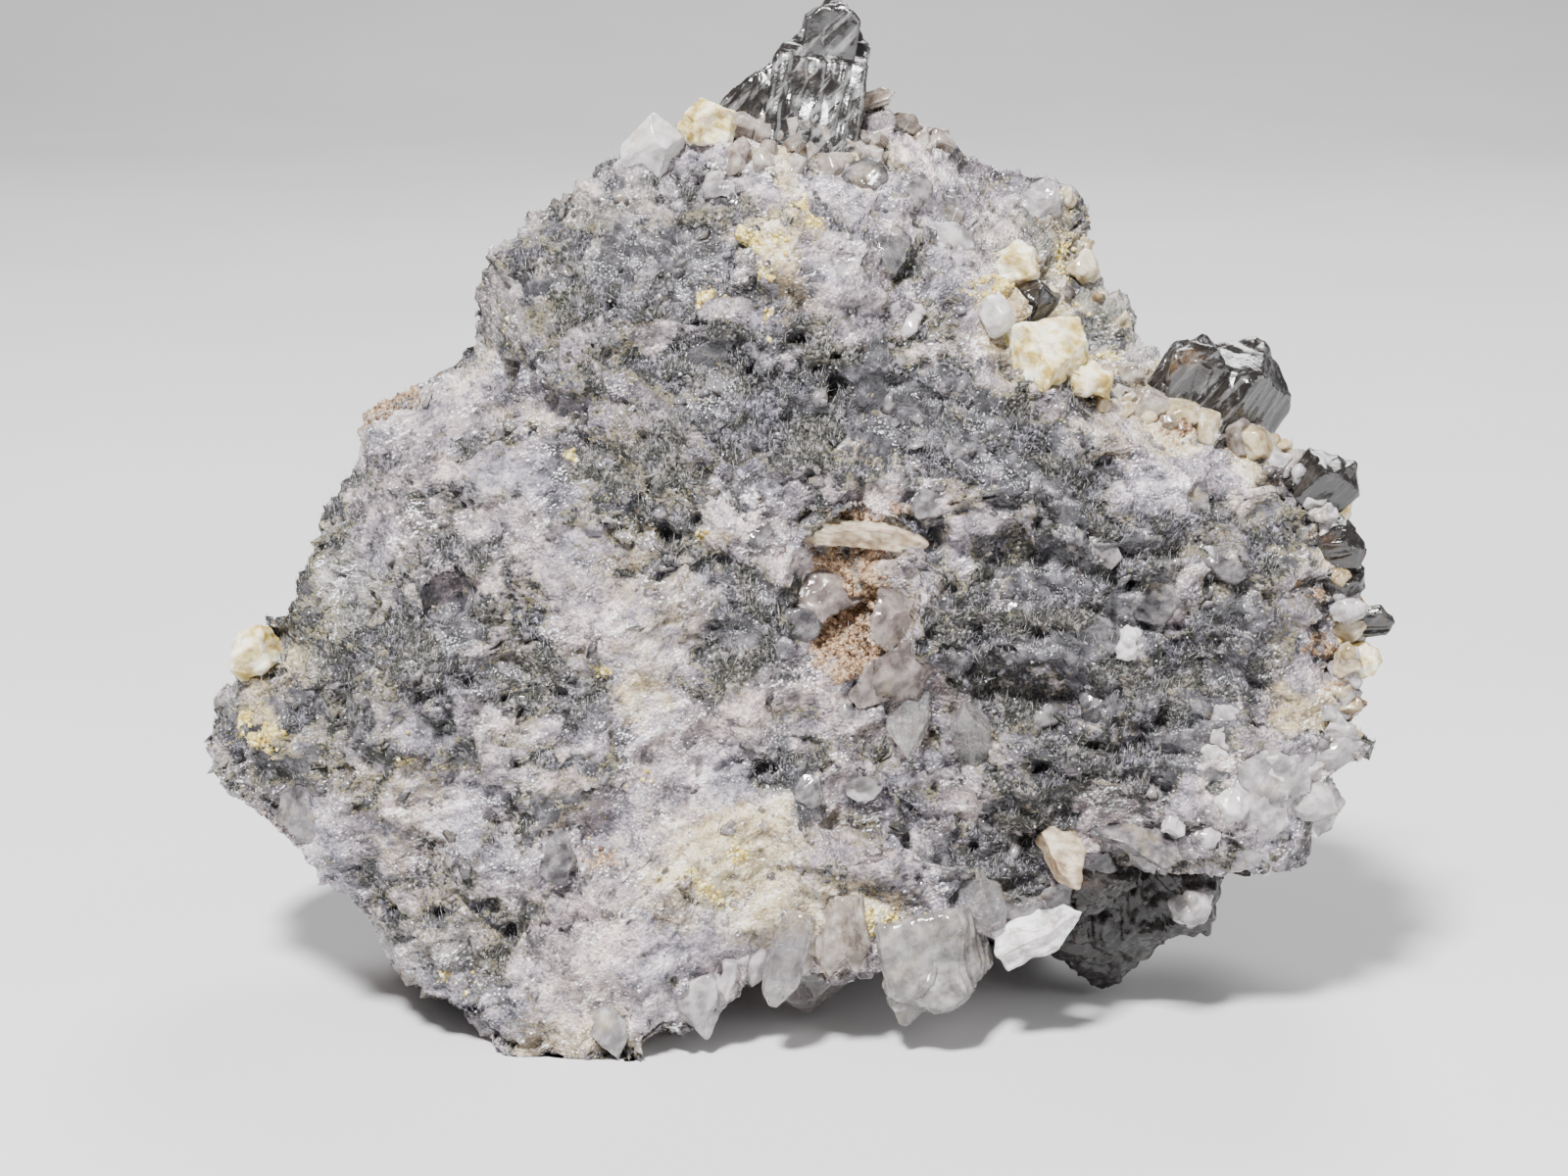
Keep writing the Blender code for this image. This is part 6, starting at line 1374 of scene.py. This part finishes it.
FELDSPAR = {
    "feldspar_blade_pocket": [
        (prism((1.0, 1.3), 7.8, 4, 66.0, 0.10, 0.3), (5.0, 3.0, 1.3), (0.99, -0.08, -0.04), 8)],
    "feldspar_blade_lower": [
        (prism((1.9, 1.5), 4.2, 4, 55.0, 0.10, 1.5), (16.2, -15.6, 2.4), (0.42, -0.82, -0.36), 20)],
    "feldspar_wedge_lower": [
        (prism((2.6, 1.6), 6.0, 4, 62.0, 0.14, 2.1), (15.0, -19.3, 3.0), (0.90, 0.38, -0.20), 25)],
    "feldspar_lump_cream": [
        (lump((5.2, 3.7), 3.5, 8, 0.20, 0.5), (14.6, 13.3, 4.6), (0.10, 0.20, -0.95), 20),
        (lump((3.6, 1.5), 2.0, 8, 0.20, 2.5), (17.2, 11.9, 4.4), (0.20, 0.20, -0.95), 150)],
    "feldspar_lump_yellow": [
        (lump((2.4, 2.2), 2.4, 10, 0.12, 1.5), (13.2, 18.4, 7.7), (0.10, 0.30, -0.90), 0)],
    "feldspar_lump_top": [(lump((2.9, 2.2), 2.6, 10, 0.12, 2.5), (-4.4, 26.4, 5.5), (0.0, 0.4, -0.9), 10)],
    "feldspar_bead_edge": [(lump((2.0, 2.0), 2.0, 18, 0.03, 0.2), (33.1, -4.1, 5.3), (0.6, 0.1, -0.6), 0)],
    "feldspar_plate_edge": [
        (prism((1.3, 1.8), 3.2, 4, 50.0, 0.08, 0.8), (31.6, 4.5, 9.1), (0.45, 0.86, 0.10), 15)],
    "feldspar_lump_left": [(lump((2.6, 3.0), 2.6, 10, 0.13, 1.1), (-30.3, -3.6, 7.6), (-0.5, 0.3, -0.7), 0)],
}
# The deep, the middle and the pale tone.
FELDSPAR_TONES = {
    "cream": ((0.42, 0.30, 0.07), (0.70, 0.59, 0.30), (0.87, 0.82, 0.68)),
    "blade": ((0.18, 0.12, 0.07), (0.33, 0.25, 0.16), (0.56, 0.47, 0.36)),
    "white": ((0.40, 0.37, 0.37), (0.66, 0.63, 0.64), (0.86, 0.83, 0.85)),
}
BLADE_GROWTH = (44, (0.03, 0.6), (0.03, 0.3), (0.20, 1.4, 1.0))
WEDGE_GROWTH = (30, (0.10, 0.8), (0.08, 0.3), (0.50, 1.7, 1.0))
LUMP_GROWTH = (90, (0.12, 1.1), (0.10, 0.35), (0.24, 0.9, 1.0))
feldspar = {tone: feldspar_finish(tone + "_feldspar", *tones) for tone, tones in FELDSPAR_TONES.items()}
FELDSPAR_KINDS = {"blade": ("blade", BLADE_GROWTH), "wedge": ("white", WEDGE_GROWTH)}
for salt, (node, members) in enumerate(FELDSPAR.items()):
    tone, growth = FELDSPAR_KINDS.get(node.split("_")[1], ("cream", LUMP_GROWTH))
    crystals(node + "_mineral", feldspar[tone], "feldspar", members, 0.17, growth, 2600 + 30 * salt, node)


# The floor, the lights and the camera. A plain pale floor that curves up far behind, soft light from the
# upper left and a weaker one from the right, and a camera that looks square at the broken face.
FLOOR_HALF = 0.9
FLOOR_REACH = 5.0
FLOOR_RISE = (0.5, 0.35)
FLOOR_LINES = 121
FLOOR_TONES = [(0.3, (0.60, 0.60, 0.61)), (0.7, (0.64, 0.64, 0.64))]
# Name, place, size and watts of each lamp.
LAMPS = [("key", (-0.12, -0.28, 0.50), 0.09, 10.8), ("fill", (0.45, -0.25, 0.25), 0.40, 1.7),
         ("rim", (0.10, 0.40, 0.45), 0.25, 3.0)]
LAMP_AIM = Vector((0, 0, 0.03))
ROOM_COLOUR = (0.86, 0.83, 0.86, 1)
ROOM_STRENGTH = 0.27
CAMERA_DISTANCE = 174.2
CAMERA_LENS = 70.0


def pale_floor():
    """A sheet whose height is 0 under the object and a quarter circle far behind it. With t from -1 to 1,
    its lines stand at FLOOR_HALF times t plus FLOOR_REACH times t to the power 5, so they are close in the
    middle."""
    line = np.linspace(-1, 1, FLOOR_LINES)
    line = FLOOR_HALF * line + FLOOR_REACH * line**5
    x, y = np.meshgrid(line, line)
    start, radius = FLOOR_RISE
    z = np.where(y > start, radius - np.sqrt(np.clip(radius**2 - (y - start) ** 2, 0, None)), 0)
    points = np.stack([x, y, z], -1).reshape(-1, 3) / MM
    floor = into_mesh("floor", points, triangles(np.arange(x.size).reshape(x.shape)), smooth=True)
    finish = Finish("pale_floor", 0.8)
    floor.data.materials.append(finish.wear(finish.ramp(finish.noise(60.0, 2.0), FLOOR_TONES)))


def soft_light(name, place, size, watts):
    """A square lamp that faces the object."""
    lamp = bpy.data.lights.new(name, "AREA")
    lamp.size = size
    lamp.energy = watts
    made = bpy.data.objects.new(name, lamp)
    made.location = place
    made.rotation_euler = (LAMP_AIM - made.location).to_track_quat("-Z", "Y").to_euler()
    bpy.context.scene.collection.objects.link(made)


pale_floor()
for lamp in LAMPS:
    soft_light(*lamp)
room = bpy.data.worlds.new("room")
room.use_nodes = True
background = room.node_tree.nodes["Background"]
background.inputs["Color"].default_value = ROOM_COLOUR
background.inputs["Strength"].default_value = ROOM_STRENGTH
bpy.context.scene.world = room
lens = bpy.data.cameras.new("photo_camera")
lens.lens = CAMERA_LENS
lens.clip_start = 0.005
camera = bpy.data.objects.new("photo_camera", lens)
camera.location = (-CENTRE[0] * MM, (-CAMERA_DISTANCE * math.cos(LEAN) - CENTRE[1]) * MM,
                   (FACE_TO_FLOOR * math.cos(LEAN) + CAMERA_DISTANCE * math.sin(LEAN)) * MM)
camera.rotation_euler = (math.pi / 2 - LEAN, 0, 0)
bpy.context.scene.collection.objects.link(camera)
bpy.context.scene.camera = camera
